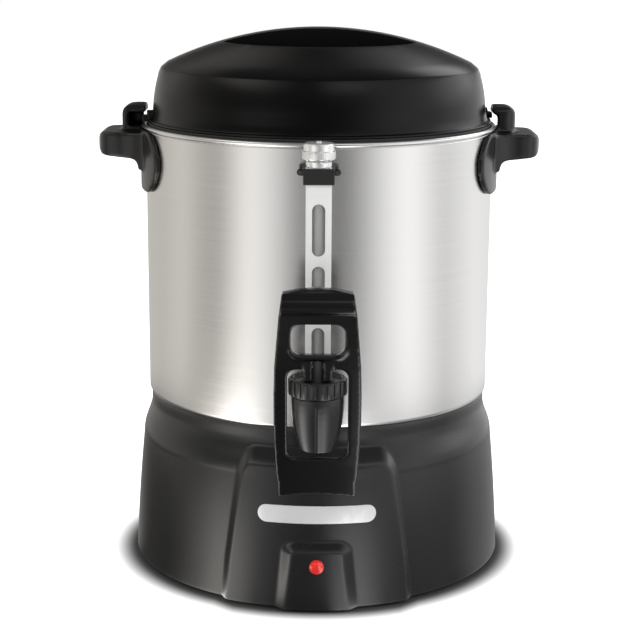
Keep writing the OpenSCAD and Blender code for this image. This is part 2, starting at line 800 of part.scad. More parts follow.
module gauge_cap() {
    neck_top = 3.2;
    bevel_top = 5;
    ring_top = 9.6;
    cap_r = cap_d / 2;
    bore_r = glass_d / 2 + fit_gap;
    color([0.88, 0.88, 0.88]) translate([0, gauge_y, shield_top_z + fit_gap])
        rotate_extrude($fn = small_fn) polygon([
            [bore_r + 1.5, 0], [shield_w / 2, 0], [shield_w / 2, neck_top],
            [cap_r - 0.3, bevel_top], [cap_r, bevel_top + 0.3], [cap_r, ring_top],
            [cap_r - 0.8, ring_top + 0.2], [cap_r - 0.85, cap_h - 1.6], [cap_r - 1.2, cap_h - 1.2],
            [1.8, cap_h - 0.9], [1.5, cap_h], [0, cap_h],
            [0, cap_h - 3], [bore_r, cap_h - 4], [bore_r, 4], [bore_r + 1.5, 4]]);
}

module gauge_collar() {
    half = shield_w / 2 + fit_gap;
    tab_r = 2;
    top_t = 1;
    low_z = shield_top_z - collar_h;
    outer = half + collar_t;
    back_y = -tank_r - 6;
    color([0.09, 0.09, 0.09]) difference() {
        union() {
            translate([-outer, shield_front_y - collar_t - fit_gap, low_z])
                cube([2 * outer, back_y - shield_front_y + collar_t + fit_gap + 8, collar_h]);
            rivets_at() rod_y(tab_r, -tank_r - 2.6, 6);
            translate([-rivet_x, -tank_r - 2.6, rivet_z - tab_r]) cube([2 * rivet_x, 6, 2 * tab_r]);
            translate([-outer - 2.4, gauge_y + 2, low_z + collar_h - top_t])
                cube([2 * outer + 4.8, gauge_reach + 2, top_t]);
        }
        translate([-half, shield_front_y - fit_gap, low_z - 1])
            cube([2 * half, 40, collar_h + 1]);
        translate([0, gauge_y, low_z]) cylinder(r = half + fit_gap, h = 40, $fn = small_fn);
        translate([0, 0, low_z - 1]) cylinder(r = tank_r + fit_gap, h = 60, $fn = round_fn);
        rivets_at() rod_y(1.05, -tank_r - 6, 10);
    }
}

rivet_x = shield_w / 2 + collar_t + 2;
rivet_z = shield_top_z - collar_h * 0.48;

module rivets_at() {
    for (side = [-1, 1]) translate([side * rivet_x, 0, rivet_z]) children();
}

module gauge_rivets() {
    color([0.3, 0.3, 0.3]) rivets_at() {
        rod_y(1, -tank_r - 2.6, 2.5);
        rod_y(1.4, -tank_r - 3.4, 0.8);
    }
}

module gauge_seals() {
    color([0.75, 0.75, 0.72]) translate([0, gauge_y, 0]) {
        tube(glass_d / 2 + 1.5, glass_d / 2 + fit_gap / 2, socket_top_z - 4, 4);
        tube(glass_d / 2 + 1.4, glass_d / 2 + fit_gap / 2, shield_top_z + 0.5, 3.4);
    }
}

// ---- Tap ----

module at_tap() {
    translate([0, tap_y, 0]) children();
}

// The valve body's radius at a share of its height
function body_r(t) = spout_d / 2 + (body_d / 2 - spout_d / 2) * sin(90 * pow(t, 0.85));

module tap_body() {
    steps = 8;
    outer_h = body_top_z - spout_z;
    neck = 13.5;
    ridge_w = 1.4;
    flange_y = -tank_r - 3;
    color([0.1, 0.1, 0.1]) difference() {
        union() {
            at_tap() rotate_extrude($fn = 72)
                polygon(concat([[0, spout_z]],
                    [for (i = [0:steps]) [body_r(i / steps), spout_z + outer_h * i / steps]],
                    [[neck, body_top_z], [neck, thread_top_z], [0, thread_top_z]]));
            at_tap() cut_x(ridge_w) polygon(concat([[-5, spout_z]],
                [for (i = [0:steps - 1]) [-body_r(i / steps) - 0.4, spout_z + outer_h * i / steps]],
                [[-5, spout_z + outer_h * (steps - 1) / steps]]));
            translate([0, 0, shank_z]) rod_y(shank_d / 2, tap_y, tap_reach + 12);
            translate([0, 0, shank_z]) rod_y(shank_flange_d / 2, flange_y - 3, 3);
            translate([0, gauge_y, shank_z])
                cylinder(r = shield_w / 2, h = socket_rise, $fn = small_fn);
        }
        at_tap() translate([0, 0, seat_z]) cylinder(d = chamber_d, h = 60, $fn = small_fn);
        at_tap() translate([0, 0, spout_z - 1])
            cylinder(d = outlet_d, h = 40, $fn = small_fn);
        translate([0, 0, shank_z]) rod_y(shank_bore_d / 2, tap_y, tap_reach + 20);
        translate([0, gauge_y, shank_z]) cylinder(r = 3, h = 40, $fn = small_fn);
        translate([0, gauge_y, socket_top_z - 6])
            cylinder(r = glass_d / 2 + fit_gap, h = 10, $fn = small_fn);
        translate([0, gauge_y, socket_top_z - 4])
            cylinder(r = glass_d / 2 + 1.5 + fit_gap / 2, h = 10, $fn = small_fn);
    }
}

module tap_outer_seal() {
    color([0.7, 0.7, 0.68]) difference() {
        translate([0, 0, shank_z]) rod_y(shank_flange_d / 2 - 0.5, -tank_r - 3, 3);
        translate([0, 0, shank_z]) rod_y(shank_d / 2 + fit_gap, -tank_r - 5, 20);
        cylinder(r = tank_r + fit_gap / 2, h = rim_z, $fn = round_fn);
    }
}

seal_back_y = -tank_in_r + 3.4;

module tap_inner_seal() {
    color([0.7, 0.7, 0.68]) difference() {
        intersection() {
            translate([0, 0, shank_z]) rod_y(shank_flange_d / 2 - 0.5, -tank_r, seal_back_y + tank_r);
            cylinder(r = tank_in_r - fit_gap / 2, h = rim_z, $fn = round_fn);
        }
        translate([0, 0, shank_z]) rod_y(shank_d / 2 + fit_gap, -tank_r - 5, 20);
    }
}

module tap_nut() {
    color([0.1, 0.1, 0.1]) difference() {
        translate([0, 0, shank_z]) rod_y(shank_flange_d / 2, seal_back_y, 6, 6);
        translate([0, 0, shank_z]) rod_y(shank_d / 2 + fit_gap / 2, -tank_r - 5, 30);
    }
}

module bonnet() {
    r = bonnet_d / 2;
    groove_r = 0.8;
    thread_r = 13.5 + fit_gap;
    color([0.1, 0.1, 0.1]) at_tap() difference() {
        rotate_extrude($fn = 72) polygon([
            [thread_r, bonnet_z], [r - 0.5, bonnet_z], [r, bonnet_z + 0.5], [r, bonnet_top_z - 1],
            [r - 1, bonnet_top_z], [r - 2.4, bonnet_top_z], [r - 4.5, dish_z + 0.8],
            [r - 7, dish_z], [stem_d / 2 + run_gap, dish_z],
            [stem_d / 2 + run_gap, bonnet_plate_z], [thread_r, bonnet_plate_z]]);
        for (i = [0:bonnet_grooves - 1]) rotate([0, 0, (i + 0.5) * 360 / bonnet_grooves])
            translate([r + 0.25, 0, bonnet_z - 1])
                cylinder(r = groove_r, h = bonnet_h - 0.4, $fn = 24);
    }
}

module valve_stem() {
    stem_low_z = seat_z + 2.3;
    head_z = pin_z + stem_d / 2 + 1.8;
    color([0.35, 0.35, 0.35]) at_tap() difference() {
        union() {
            translate([0, 0, stem_low_z]) cylinder(d = stem_d, h = head_z - stem_low_z, $fn = small_fn);
            translate([0, 0, stem_flange_z]) cylinder(r = 8.5, h = stem_flange_t, $fn = small_fn);
        }
        translate([-10, 0, pin_z]) rotate([0, 90, 0])
            cylinder(r = pin_d / 2 + run_gap, h = 20, $fn = small_fn);
    }
}

module seat_cup() {
    color([0.75, 0.75, 0.72]) at_tap() difference() {
        translate([0, 0, seat_z + free_gap]) cylinder(r = 9, h = 6, $fn = small_fn);
        translate([0, 0, seat_z + 2.3]) cylinder(r = stem_d / 2 + fit_gap / 2, h = 10, $fn = small_fn);
    }
}

module valve_spring() {
    sides = 8;
    per_turn = 12;
    coil_r = 6.4;
    low_z = stem_flange_z + stem_flange_t + spring_wire / 2 + 0.05;
    high_z = bonnet_plate_z - spring_wire / 2 - 0.05;
    rings = spring_turns * per_turn;
    rise = (high_z - low_z) / rings;
    points = [for (i = [0:rings], j = [0:sides - 1])
        let (turn = 360 * i / per_turn, a = -360 * j / sides, out = coil_r + spring_wire / 2 * cos(a))
        [out * cos(turn), out * sin(turn), low_z + rise * i + spring_wire / 2 * sin(a)]];
    walls = [for (i = [0:rings - 1], j = [0:sides - 1])
        let (k = (j + 1) % sides)
        [i * sides + j, i * sides + k, (i + 1) * sides + k, (i + 1) * sides + j]];
    color([0.75, 0.75, 0.78]) at_tap() polyhedron(points,
        concat(walls, [[for (j = [sides - 1:-1:0]) j]], [[for (j = [0:sides - 1]) rings * sides + j]]));
}

// ---- Lever ----

// Heights on the lever, from the pin
window_top = 27.8;
window_low = 9.6;
window_w = lever_gap - 4.4;
window_r = 5.5;
hood_low = 35;
hood_depth = 18.9;
bar_low = 0.6;
plate_top = -(plate_low - press_h);

// The lever's front outline, about the pin
module lever_front() {
    half = lever_w / 2;
    hood = hood_w / 2;
    side = [[0, hood_rise], [hood * 0.5, hood_rise - 0.7], [hood - 0.5, hood_rise - 2.6],
        [hood, hood_rise - 3.3], [hood + 0.9, hood_low + 4.5], [hood + 1.7, hood_low - 1.2],
        [half - 3, hood_low - 2.2], [half - 2.3, window_top - 3.3], [half - 1.4, window_low + 4],
        [half - 0.5, 2.4], [half, plate_top * 0.24], [half, plate_top * 0.62],
        [half - 0.6, plate_top * 0.88], [half - 1.5, plate_top - 9], [half - 2.5, 9 - plate_low],
        [half - 2.9, 0.8 - plate_low], [half - 3.6, -plate_low],
        [half * 0.5, 1.4 - plate_low], [0, 1.9 - plate_low]];
    polygon(side);
    mirror([1, 0]) polygon(side);
}

// The lever's side profile, about the pin: the front line first, and the back line after it
module lever_side() {
    deep = hood_depth;
    line = [[-deep * 0.62, hood_low - 2], [-deep * 0.56, window_low + 6.4], [-deep * 0.45, 0],
        [-deep * 0.25, -plate_low * 0.3], [-deep * 0.085, -plate_low * 0.54],
        [deep * 0.03, -plate_low * 0.76], [deep * 0.1, -plate_low - 1]];
    front = [[-deep * 0.4, hood_rise + 1], [-deep * 0.77, hood_rise - 2.5], [-deep * 0.93, hood_rise - 6],
        [-deep, hood_low + 4], [-deep * 0.975, hood_low + 1.6], [-deep * 0.9, hood_low + 0.4],
        [-deep * 0.64, hood_low - 0.6]];
    back = [for (i = [6:-1:0]) [line[i][0] + lever_t + (i < 3 ? 0.4 : 0), line[i][1]]];
    polygon(concat(front, line, back,
        [[-deep * 0.72 + lever_t, hood_rise - 8], [-deep * 0.24, hood_rise + 1]]));
}

module rounded_window(w, low, high, r) {
    polygon(concat(arc(w / 2 - r, low + r, r, -90, 0, 5), arc(w / 2 - r, high - r, r, 0, 90, 5),
        arc(-w / 2 + r, high - r, r, 90, 180, 5), arc(-w / 2 + r, low + r, r, 180, 270, 5)));
}

module lever() {
    cheek_low = dish_z + free_gap + 0.1 - pin_z;
    cheek = (yoke_w - stem_d) / 2 - free_gap;
    reach = 2 * lever_w;
    color([0.07, 0.07, 0.07]) at_tap() translate([0, 0, pin_z]) difference() {
        union() {
            difference() {
                intersection() {
                    cut_y(-reach / 2, reach) lever_front();
                    cut_x(lever_w + 2) lever_side();
                }
                cut_y(-reach / 2, reach) rounded_window(window_w, window_low, window_top, window_r);
                cut_y(-reach / 2, reach) rounded_window(lever_gap, plate_top, bar_low, window_r);
                cut_y(-reach / 2, reach)
                    rounded_window(stem_d + 2 * free_gap, bar_low - 6, bar_low + 5, 2.4);
            }
            intersection() {
                cut_y(-reach / 2, reach) difference() {
                    rounded_window(window_w + 2, window_low - 2.6, window_low + 12, window_r);
                    rounded_window(window_w - 0.6, window_low - 1.5, window_low + 14, window_r - 1);
                    translate([-reach / 2, window_low + 3]) square([reach, reach]);
                }
                translate([0, -0.7, 0]) cut_x(lever_w + 2) lever_side();
            }
            for (side = [-1, 1]) translate([side * (yoke_w / 2 - cheek / 2), 0, 0]) cut_x(cheek)
                polygon(concat([[-9, window_low - 1.5], [-9.4, 0]],
                    arc(-7.5, cheek_low + 3, 3, 190, 270, 4),
                    arc(1.5, cheek_low + 4.5, 4.5, -90, 0, 4), arc(1.5, 1.5, 4.5, 0, 90, 4),
                    [[-4, window_low - 2]]));
        }
        translate([-20, 0, 0]) rotate([0, 90, 0])
            cylinder(r = pin_d / 2 + run_gap / 2, h = 40, $fn = small_fn);
    }
}

module lever_pin() {
    color([0.75, 0.75, 0.78]) at_tap() translate([-yoke_w / 2 - 0.4, 0, pin_z]) rotate([0, 90, 0])
        cylinder(d = pin_d, h = yoke_w + 0.8, $fn = small_fn);
}

// ---- Heater ----

well_flange_r = well_r + 6;

module pump_well() {
    color([0.8, 0.8, 0.8]) difference() {
        union() {
            translate([0, 0, well_bottom_z]) cylinder(r = well_r, h = well_depth + 1, $fn = round_fn);
            translate([0, 0, well_top_z]) cylinder(r = well_flange_r, h = 1.5, $fn = round_fn);
        }
        translate([0, 0, well_bottom_z + well_wall])
            cylinder(r = well_r - well_wall, h = well_depth + 5, $fn = round_fn);
    }
}

module well_gasket() {
    color([0.7, 0.7, 0.68]) tube(well_flange_r, well_r + fit_gap, tank_floor_z, seal_lip_t, round_fn);
}

module well_nut() {
    nut_h = 6;
    color([0.75, 0.75, 0.76]) translate([0, 0, base_h - nut_h]) difference() {
        cylinder(r = well_r + 7, h = nut_h, $fn = 6);
        translate([0, 0, -1]) cylinder(r = well_r + fit_gap, h = nut_h + 2, $fn = round_fn);
    }
}

terminal_x = 11;

module heater_block() {
    color([0.6, 0.6, 0.6]) difference() {
        translate([0, 0, heater_z]) cylinder(r = well_r - 1, h = heater_t, $fn = round_fn);
        for (side = [-1, 1]) translate([side * terminal_x, 0, heater_z - 1])
            cylinder(r = 2.2, h = 5, $fn = 24);
    }
}

module heater_terminals() {
    color([0.78, 0.62, 0.3]) for (side = [-1, 1]) translate([side * terminal_x, 0, heater_z - 8])
        cylinder(r = 2.1, h = 12, $fn = 24);
}

module warming_element() {
    ring_z = base_h - warmer_d / 2;
    color([0.5, 0.5, 0.5]) {
        rotate([0, 0, -60]) rotate_extrude(angle = 300, $fn = round_fn)
            translate([warmer_ring_r, ring_z]) circle(d = warmer_d, $fn = 24);
        for (a = [-60, 240]) rotate([0, 0, a]) translate([warmer_ring_r, 0, ring_z - 12])
            cylinder(d = warmer_d + 1.6, h = 12 + warmer_d / 2, $fn = 24);
    }
}

thermostat_x = 40;

module thermostat() {
    color([0.25, 0.2, 0.18]) translate([thermostat_x, 0, 0]) {
        translate([0, 0, base_h - thermostat_h]) cylinder(d = thermostat_d, h = thermostat_h, $fn = small_fn);
        for (side = [-1, 1]) translate([side * 4 - 2.4, -0.4, base_h - thermostat_h - 7])
            cube([4.8, 0.8, 8]);
    }
}

fuse_y = 34;
fuse_z = base_h - 4.5;

module thermal_fuse() {
    color([0.8, 0.8, 0.82]) {
        translate([-8, fuse_y, fuse_z]) rotate([0, 90, 0]) cylinder(r = 2, h = 16, $fn = small_fn);
        translate([-4, fuse_y - 3, base_h - 2.5]) cube([8, 6, 2.5]);
    }
}

module lead_wires() {
    r = 1.3;
    pin_end_y = inlet_face_y - inlet_depth - 8;
    pin_low_z = inlet_z - 1.5;
    blade_z = base_h - thermostat_h - 7;
    lamp_end_y = lens_back_y + 24;
    color([0.8, 0.78, 0.7]) {
        wire([[7, pin_end_y, pin_low_z], [7, pin_end_y - 6, pin_low_z], [thermostat_x + 4, 40, 60],
            [thermostat_x + 4, 0, blade_z - 6], [thermostat_x + 4, 0, blade_z]], r);
        wire([[thermostat_x - 4, 0, blade_z], [thermostat_x - 4, 0, blade_z - 8], [20, -2, heater_z - 18],
            [terminal_x, 0, heater_z - 14], [terminal_x, 0, heater_z - 8]], r);
        wire([[-7, pin_end_y, pin_low_z], [-7, pin_end_y - 6, pin_low_z], [-20, 60, 80],
            [-16, fuse_y, fuse_z], [-8, fuse_y, fuse_z]], r);
        wire([[8, fuse_y, fuse_z], [14, fuse_y, fuse_z], [8, 24, heater_z - 6], [-4, 14, heater_z - 18],
            [-terminal_x, 0, heater_z - 14], [-terminal_x, 0, heater_z - 8]], r);
        wire([[2, lamp_end_y, lens_z], [2, lamp_end_y + 20, lens_z], [18, -50, 66],
            [20, -2, heater_z - 18]], r);
        wire([[-2, lamp_end_y, lens_z], [-2, lamp_end_y + 20, lens_z], [-18, -50, 66],
            [-4, 14, heater_z - 18]], r);
    }
}

// ---- Basket and pump ----

module strain_rings(outer_r, low_z, depth) {
    for (ring = [1, 0.72, 0.46])
        for (i = [0:strain_holes * ring - 1]) rotate([0, 0, i * 360 / floor(strain_holes * ring)])
            translate([outer_r * ring, 0, low_z]) cylinder(d = strain_hole_d, h = depth, $fn = 16);
}

module basket() {
    tube_r = pump_r + 1.2;
    color([0.78, 0.78, 0.78]) difference() {
        union() {
            tube(basket_r, basket_r - basket_t, basket_z, basket_h, round_fn);
            translate([0, 0, basket_z]) cylinder(r = basket_r - basket_t / 2, h = basket_t, $fn = round_fn);
            tube(tube_r + basket_t, tube_r, basket_z, basket_h - 6);
        }
        translate([0, 0, basket_z - 1]) cylinder(r = tube_r, h = 5, $fn = small_fn);
        strain_rings(basket_r * 0.86, basket_z - 1, basket_t + 2);
    }
}

module basket_cover() {
    top_z = basket_z + basket_h;
    color([0.8, 0.8, 0.8]) difference() {
        union() {
            translate([0, 0, top_z]) cylinder(r = basket_r + 2.5, h = basket_t, $fn = round_fn);
            tube(basket_r + 2.5, basket_r + 2.5 - basket_t, top_z, 5, round_fn);
            tube(basket_r - basket_t - 0.5, basket_r - 2 * basket_t - 0.5, top_z - 6, 6.5, round_fn);
        }
        translate([0, 0, top_z - 1]) cylinder(r = pump_r + 1, h = 5, $fn = small_fn);
        strain_rings(basket_r * 0.82, top_z - 1, basket_t + 2);
    }
}

module pump_stem() {
    collar = 2.4;
    color([0.8, 0.8, 0.8]) {
        tube(pump_r, pump_r - pump_wall, pump_z, pump_l);
        tube(pump_r + collar, pump_r - pump_wall / 2, basket_z - 3, 3);
    }
}

module pump_foot() {
    foot_r = well_r - well_wall - 1.2;
    floor_z = well_bottom_z + well_wall;
    color([0.76, 0.76, 0.76]) difference() {
        translate([0, 0, floor_z]) rotate_extrude($fn = 72) polygon([
            [foot_r, 0], [foot_r, 1.2], [foot_r - 3, 2.4], [pump_r + 2.2, 7], [pump_r + 2.2, 12],
            [pump_r + fit_gap / 2, 12], [pump_r + fit_gap / 2, 4], [pump_r - pump_wall, 4],
            [pump_r - pump_wall, 2.6], [foot_r - 3.6, 1.2], [foot_r - 1.4, 0]]);
        for (a = [0:60:300]) rotate([0, 0, a]) translate([foot_r - 4, -1.5, floor_z - 1])
            cube([10, 3, 2]);
    }
}

// ---- Lid ----

crease_z = lid_z + lid_crease_h;
dome_centre_z = lid_top_z - lid_dome_r;

// The dome's height at a radius
function dome_z(r, drop = 0) = dome_centre_z + sqrt(pow(lid_dome_r - drop, 2) - r * r);

// The lid's outer line from the foot of its skirt to the top, moved inwards by a distance
function lid_line(inset = 0) = concat(
    [[lid_skirt_r - inset, lid_z + lid_flange_t],
        [lid_skirt_r - 0.9 - inset, lid_z + lid_crease_h * 0.4],
        [lid_skirt_r - 2.8 - inset, lid_z + lid_crease_h * 0.72],
        [lid_crease_r - inset, crease_z - inset * 0.4]],
    [for (i = [0:9]) let (r = (lid_crease_r - 4.4 - inset) * (1 - i / 9)) [r, dome_z(r, inset)]]);

module lid_solid(inset, low_z) {
    line = lid_line(inset);
    rotate_extrude($fn = round_fn) polygon(concat([[0, low_z], [line[0][0], low_z]], line));
}

module lid_shell() {
    color([0.08, 0.08, 0.08]) {
        difference() {
            union() {
                lid_solid(0, lid_z);
                translate([0, 0, lid_z]) cylinder(r = lid_flange_r, h = lid_flange_t, $fn = round_fn);
                translate([0, 0, rim_z - plug_depth])
                    cylinder(r = plug_r, h = lid_z - rim_z + plug_depth + 1, $fn = round_fn);
                lugs();
            }
            difference() {
                union() {
                    lid_solid(lid_wall, lid_z + 2);
                    translate([0, 0, rim_z - plug_depth - 1])
                        cylinder(r = plug_r - lid_wall, h = plug_depth + 8, $fn = round_fn);
                }
                translate([0, 0, scoop_z - lid_wall])
                    cylinder(r = scoop_r + lid_wall, h = 80, $fn = round_fn);
            }
            scoops();
        }
    }
}

module scoops() {
    difference() {
        translate([0, 0, scoop_z]) cylinder(r = scoop_r, h = 80, $fn = round_fn);
        translate([-scoop_r - 5, -grip_w / 2, 0]) cube([2 * scoop_r + 10, grip_w, lid_top_z + 10]);
    }
}

module lugs() {
    for (turn = [180, 0]) rotate([0, 0, turn + lug_angle]) {
        lug(lug_r, lug_h, 0.45);
        lug(hook_roof_r - 0.4, lug_boss_h, 0.25);
    }
}

// One length of a lug, with its top edges cut back over a share of its height
module lug(reach, height, share) {
    translate([lid_skirt_r - 3, 0, lug_z]) rotate([90, 0, 90])
        linear_extrude(reach - lid_skirt_r + 3) polygon([
            [-lug_w / 2, 0], [lug_w / 2, 0], [lug_w / 2, height * (1 - share)],
            [lug_w * 0.34, height], [-lug_w * 0.34, height], [-lug_w / 2, height * (1 - share)]]);
}

module lid_seal() {
    outer = tank_in_r - free_gap;
    inner = plug_r + free_gap;
    color([0.2, 0.2, 0.2]) rotate_extrude($fn = round_fn) polygon([
        [inner, rim_z - plug_depth + 1], [outer - 1, rim_z - plug_depth + 1], [outer, rim_z - 4],
        [outer, rim_z + free_gap], [lid_flange_r, rim_z + free_gap],
        [lid_flange_r, rim_z + free_gap + seal_lip_t], [inner, rim_z + free_gap + seal_lip_t]]);
}

base_shell();
bottom_cover();
rubber_feet();
badge_plate();
pilot_lens();
pilot_lamp();
power_inlet();
inlet_pins();
inlet_screws();
tank();
handle_left();
handle_right();
handle_screws();
gauge_glass();
gauge_shield();
gauge_cap();
gauge_collar();
gauge_rivets();
gauge_seals();
tap_body();
tap_outer_seal();
tap_inner_seal();
tap_nut();
bonnet();
valve_stem();
seat_cup();
valve_spring();
lever();
lever_pin();
pump_well();
well_gasket();
well_nut();
heater_block();
heater_terminals();
warming_element();
thermostat();
thermal_fuse();
tie_rod();
tie_nut();
lead_wires();
basket();
basket_cover();
pump_stem();
pump_foot();
lid_shell();
lid_seal();
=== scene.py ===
import math

import bmesh
import bpy
from mathutils import Matrix, Vector


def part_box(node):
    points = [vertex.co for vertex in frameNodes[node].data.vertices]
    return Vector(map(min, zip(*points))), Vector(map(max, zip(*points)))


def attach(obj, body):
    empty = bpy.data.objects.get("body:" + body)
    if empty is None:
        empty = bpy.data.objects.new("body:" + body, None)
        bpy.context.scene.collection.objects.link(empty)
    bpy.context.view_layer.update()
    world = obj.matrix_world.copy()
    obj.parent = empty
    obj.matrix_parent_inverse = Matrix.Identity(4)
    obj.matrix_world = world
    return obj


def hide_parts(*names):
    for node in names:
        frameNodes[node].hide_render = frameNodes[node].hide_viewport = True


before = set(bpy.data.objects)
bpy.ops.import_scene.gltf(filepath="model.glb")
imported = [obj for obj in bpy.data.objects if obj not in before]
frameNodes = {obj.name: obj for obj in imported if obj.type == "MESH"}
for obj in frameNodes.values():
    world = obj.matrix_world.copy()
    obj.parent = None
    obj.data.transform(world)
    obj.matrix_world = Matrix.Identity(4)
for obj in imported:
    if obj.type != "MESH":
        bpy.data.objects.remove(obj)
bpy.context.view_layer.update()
mm = 0.001


# small helpers

def smoothStep(t):
    t = max(0.0, min(1.0, t))
    return t * t * (3 - 2 * t)


def mix(a, b, t):
    return a + (b - a) * t


def straightStep(t, soft=0.16):
    # a straight slope from 0 to 1 with a small round at each end
    if t <= -soft:
        return 0.0
    if t >= 1 + soft:
        return 1.0
    if t < soft:
        return (t + soft) ** 2 / (4 * soft)
    if t > 1 - soft:
        return 1 - (1 + soft - t) ** 2 / (4 * soft)
    return t


def polyline(points, x):
    # value at x on a line through (x, value) points, with ends held
    if x <= points[0][0]:
        return points[0][1]
    for (xa, va), (xb, vb) in zip(points, points[1:]):
        if x <= xb:
            return mix(va, vb, (x - xa) / (xb - xa))
    return points[-1][1]


def roundCorners(points, radii, steps=5, closed=False):
    # replaces the corners of a 2-D outline with arcs of short chords, each under half a side long
    out = []
    count = len(points)
    for i, p in enumerate(points):
        r = radii[i] if isinstance(radii, (list, tuple)) else radii
        if not closed and i in (0, count - 1) or r <= 0:
            out.append(p)
            continue
        a, b, c = Vector(points[i - 1]), Vector(p), Vector(points[(i + 1) % count])
        toA, toC = a - b, c - b
        reach = min(r, toA.length * 0.48, toC.length * 0.48)
        start, end = b + toA.normalized() * reach, b + toC.normalized() * reach
        for k in range(steps + 1):
            t = k / steps
            q = start * (1 - t) ** 2 + b * 2 * t * (1 - t) + end * t * t
            out.append((q.x, q.y))
    return out


def turned(degrees, axis):
    return Matrix.Rotation(math.radians(degrees), 4, axis)


def newObject(name, mesh):
    piece = bpy.data.objects.new(name, mesh)
    bpy.context.scene.collection.objects.link(piece)
    return piece


def shade(piece, smooth=True):
    piece.data.polygons.foreach_set("use_smooth", [smooth] * len(piece.data.polygons))
    return piece


def sharpen(piece, angle):
    # smooth shading that keeps edges sharper than an angle
    shade(piece)
    piece.data.set_sharp_from_angle(angle=math.radians(angle))
    return piece


def meshFrom(name, verts, faces, smooth=True):
    mesh = bpy.data.meshes.new(name)
    mesh.from_pydata([tuple(v) for v in verts], [], faces)
    mesh.validate()
    bm = bmesh.new()
    bm.from_mesh(mesh)
    bmesh.ops.remove_doubles(bm, verts=bm.verts, dist=1e-6)
    bmesh.ops.recalc_face_normals(bm, faces=bm.faces)
    bm.to_mesh(mesh)
    bm.free()
    return shade(newObject(name, mesh), smooth)


def columnFaces(columns, count, closed=True):
    # faces between neighbouring columns of points that stand in a ring, with count points in each
    faces = []
    for i in range(columns):
        n = (i + 1) % columns
        for j in range(count if closed else count - 1):
            k = (j + 1) % count
            faces.append((i * count + j, n * count + j, n * count + k, i * count + k))
    return faces


def lathe(name, profile, centre=(0, 0), sides=192, closed=False):
    # turns a profile of (radius, height) in millimetres about a vertical axis
    verts = []
    for i in range(sides):
        a = 2 * math.pi * i / sides
        for r, z in profile:
            verts.append(((centre[0] + r * math.cos(a)) * mm, (centre[1] + r * math.sin(a)) * mm, z * mm))
    return meshFrom(name, verts, columnFaces(sides, len(profile), closed))


def addModifier(piece, kind, **values):
    m = piece.modifiers.new(kind.title(), kind)
    for key, value in values.items():
        setattr(m, key, value)


def applyModifiers(piece):
    evaluated = piece.evaluated_get(bpy.context.evaluated_depsgraph_get())
    mesh = bpy.data.meshes.new_from_object(evaluated)
    piece.modifiers.clear()
    old = piece.data
    piece.data = mesh
    bpy.data.meshes.remove(old)
    return piece


def bevelEdges(piece, width, segments, angle=30):
    # rounds the edges that are sharper than an angle
    addModifier(piece, "BEVEL", width=width * mm, segments=segments, limit_method="ANGLE",
                angle_limit=math.radians(angle), use_clamp_overlap=True)
    return applyModifiers(piece)


def cutWith(piece, cutter):
    addModifier(piece, "BOOLEAN", operation="DIFFERENCE", object=cutter, solver="EXACT")
    applyModifiers(piece)
    bpy.data.objects.remove(cutter)


def copyNode(node, name, flatten=0.0):
    # a bare copy of a CAD node with its doubled corners merged and its flat faces joined
    mesh = frameNodes[node].data.copy()
    mesh.materials.clear()
    bm = bmesh.new()
    bm.from_mesh(mesh)
    bmesh.ops.remove_doubles(bm, verts=bm.verts, dist=2e-5)
    if flatten:
        bmesh.ops.dissolve_limit(bm, angle_limit=math.radians(flatten), verts=bm.verts, edges=bm.edges)
    bm.to_mesh(mesh)
    bm.free()
    return newObject(name, mesh)


def softCopy(node, name, voxel, rounds):
    # a moulded version of a CAD node: the same form with its edges blended
    piece = copyNode(node, name)
    addModifier(piece, "REMESH", mode="VOXEL", voxel_size=voxel * mm, use_smooth_shade=True)
    addModifier(piece, "SMOOTH", factor=0.5, iterations=rounds)
    return shade(applyModifiers(piece))


def boxMesh(name, low, high):
    verts = [(x * mm, y * mm, z * mm) for x in (low[0], high[0]) for y in (low[1], high[1])
             for z in (low[2], high[2])]
    faces = [(0, 1, 3, 2), (4, 6, 7, 5), (0, 4, 5, 1), (2, 3, 7, 6), (0, 2, 6, 4), (1, 5, 7, 3)]
    return meshFrom(name, verts, faces, False)


def prism(name, outline, low, high, along="Z"):
    # a straight prism from a closed 2-D outline, in millimetres, along X or Z
    count = len(outline)
    verts = []
    for level in (low, high):
        for a, b in outline:
            spot = (level, a, b) if along == "X" else (a, b, level)
            verts.append(tuple(v * mm for v in spot))
    faces = [tuple(range(count)), tuple(range(2 * count - 1, count - 1, -1))]
    faces += [(i, (i + 1) % count, count + (i + 1) % count, count + i) for i in range(count)]
    return meshFrom(name, verts, faces, False)


def joinPieces(name, pieces):
    bm = bmesh.new()
    for p in pieces:
        bm.from_mesh(p.data)
    mesh = bpy.data.meshes.new(name)
    bm.to_mesh(mesh)
    bm.free()
    for p in pieces:
        bpy.data.objects.remove(p)
    return newObject(name, mesh)


# shared shader effects

def fillNode(tree, node, values):
    # each key names an input or a setting: a socket is linked to an input and anything else is set
    for key, value in values.items():
        label = key.replace("_", " ")
        if label not in node.inputs:
            setattr(node, key, value)
        elif isinstance(value, bpy.types.NodeSocket):
            tree.links.new(value, node.inputs[label])
        else:
            node.inputs[label].default_value = value
    return node


def addNode(tree, kind, **values):
    return fillNode(tree, tree.nodes.new(kind), values)


def newGroup(name, inputs, outputs, kind="ShaderNodeTree"):
    # a number makes a float input of that value, and a word an input of that kind
    group = bpy.data.node_groups.new(name, kind)
    for side, labels in (("INPUT", inputs), ("OUTPUT", outputs)):
        for label, value in labels.items():
            number = isinstance(value, float)
            socket = group.interface.new_socket(name=label, in_out=side,
                                                socket_type="NodeSocket" + ("Float" if number else value))
            if number:
                socket.default_value = value
    return group, group.nodes.new("NodeGroupInput").outputs, group.nodes.new("NodeGroupOutput")


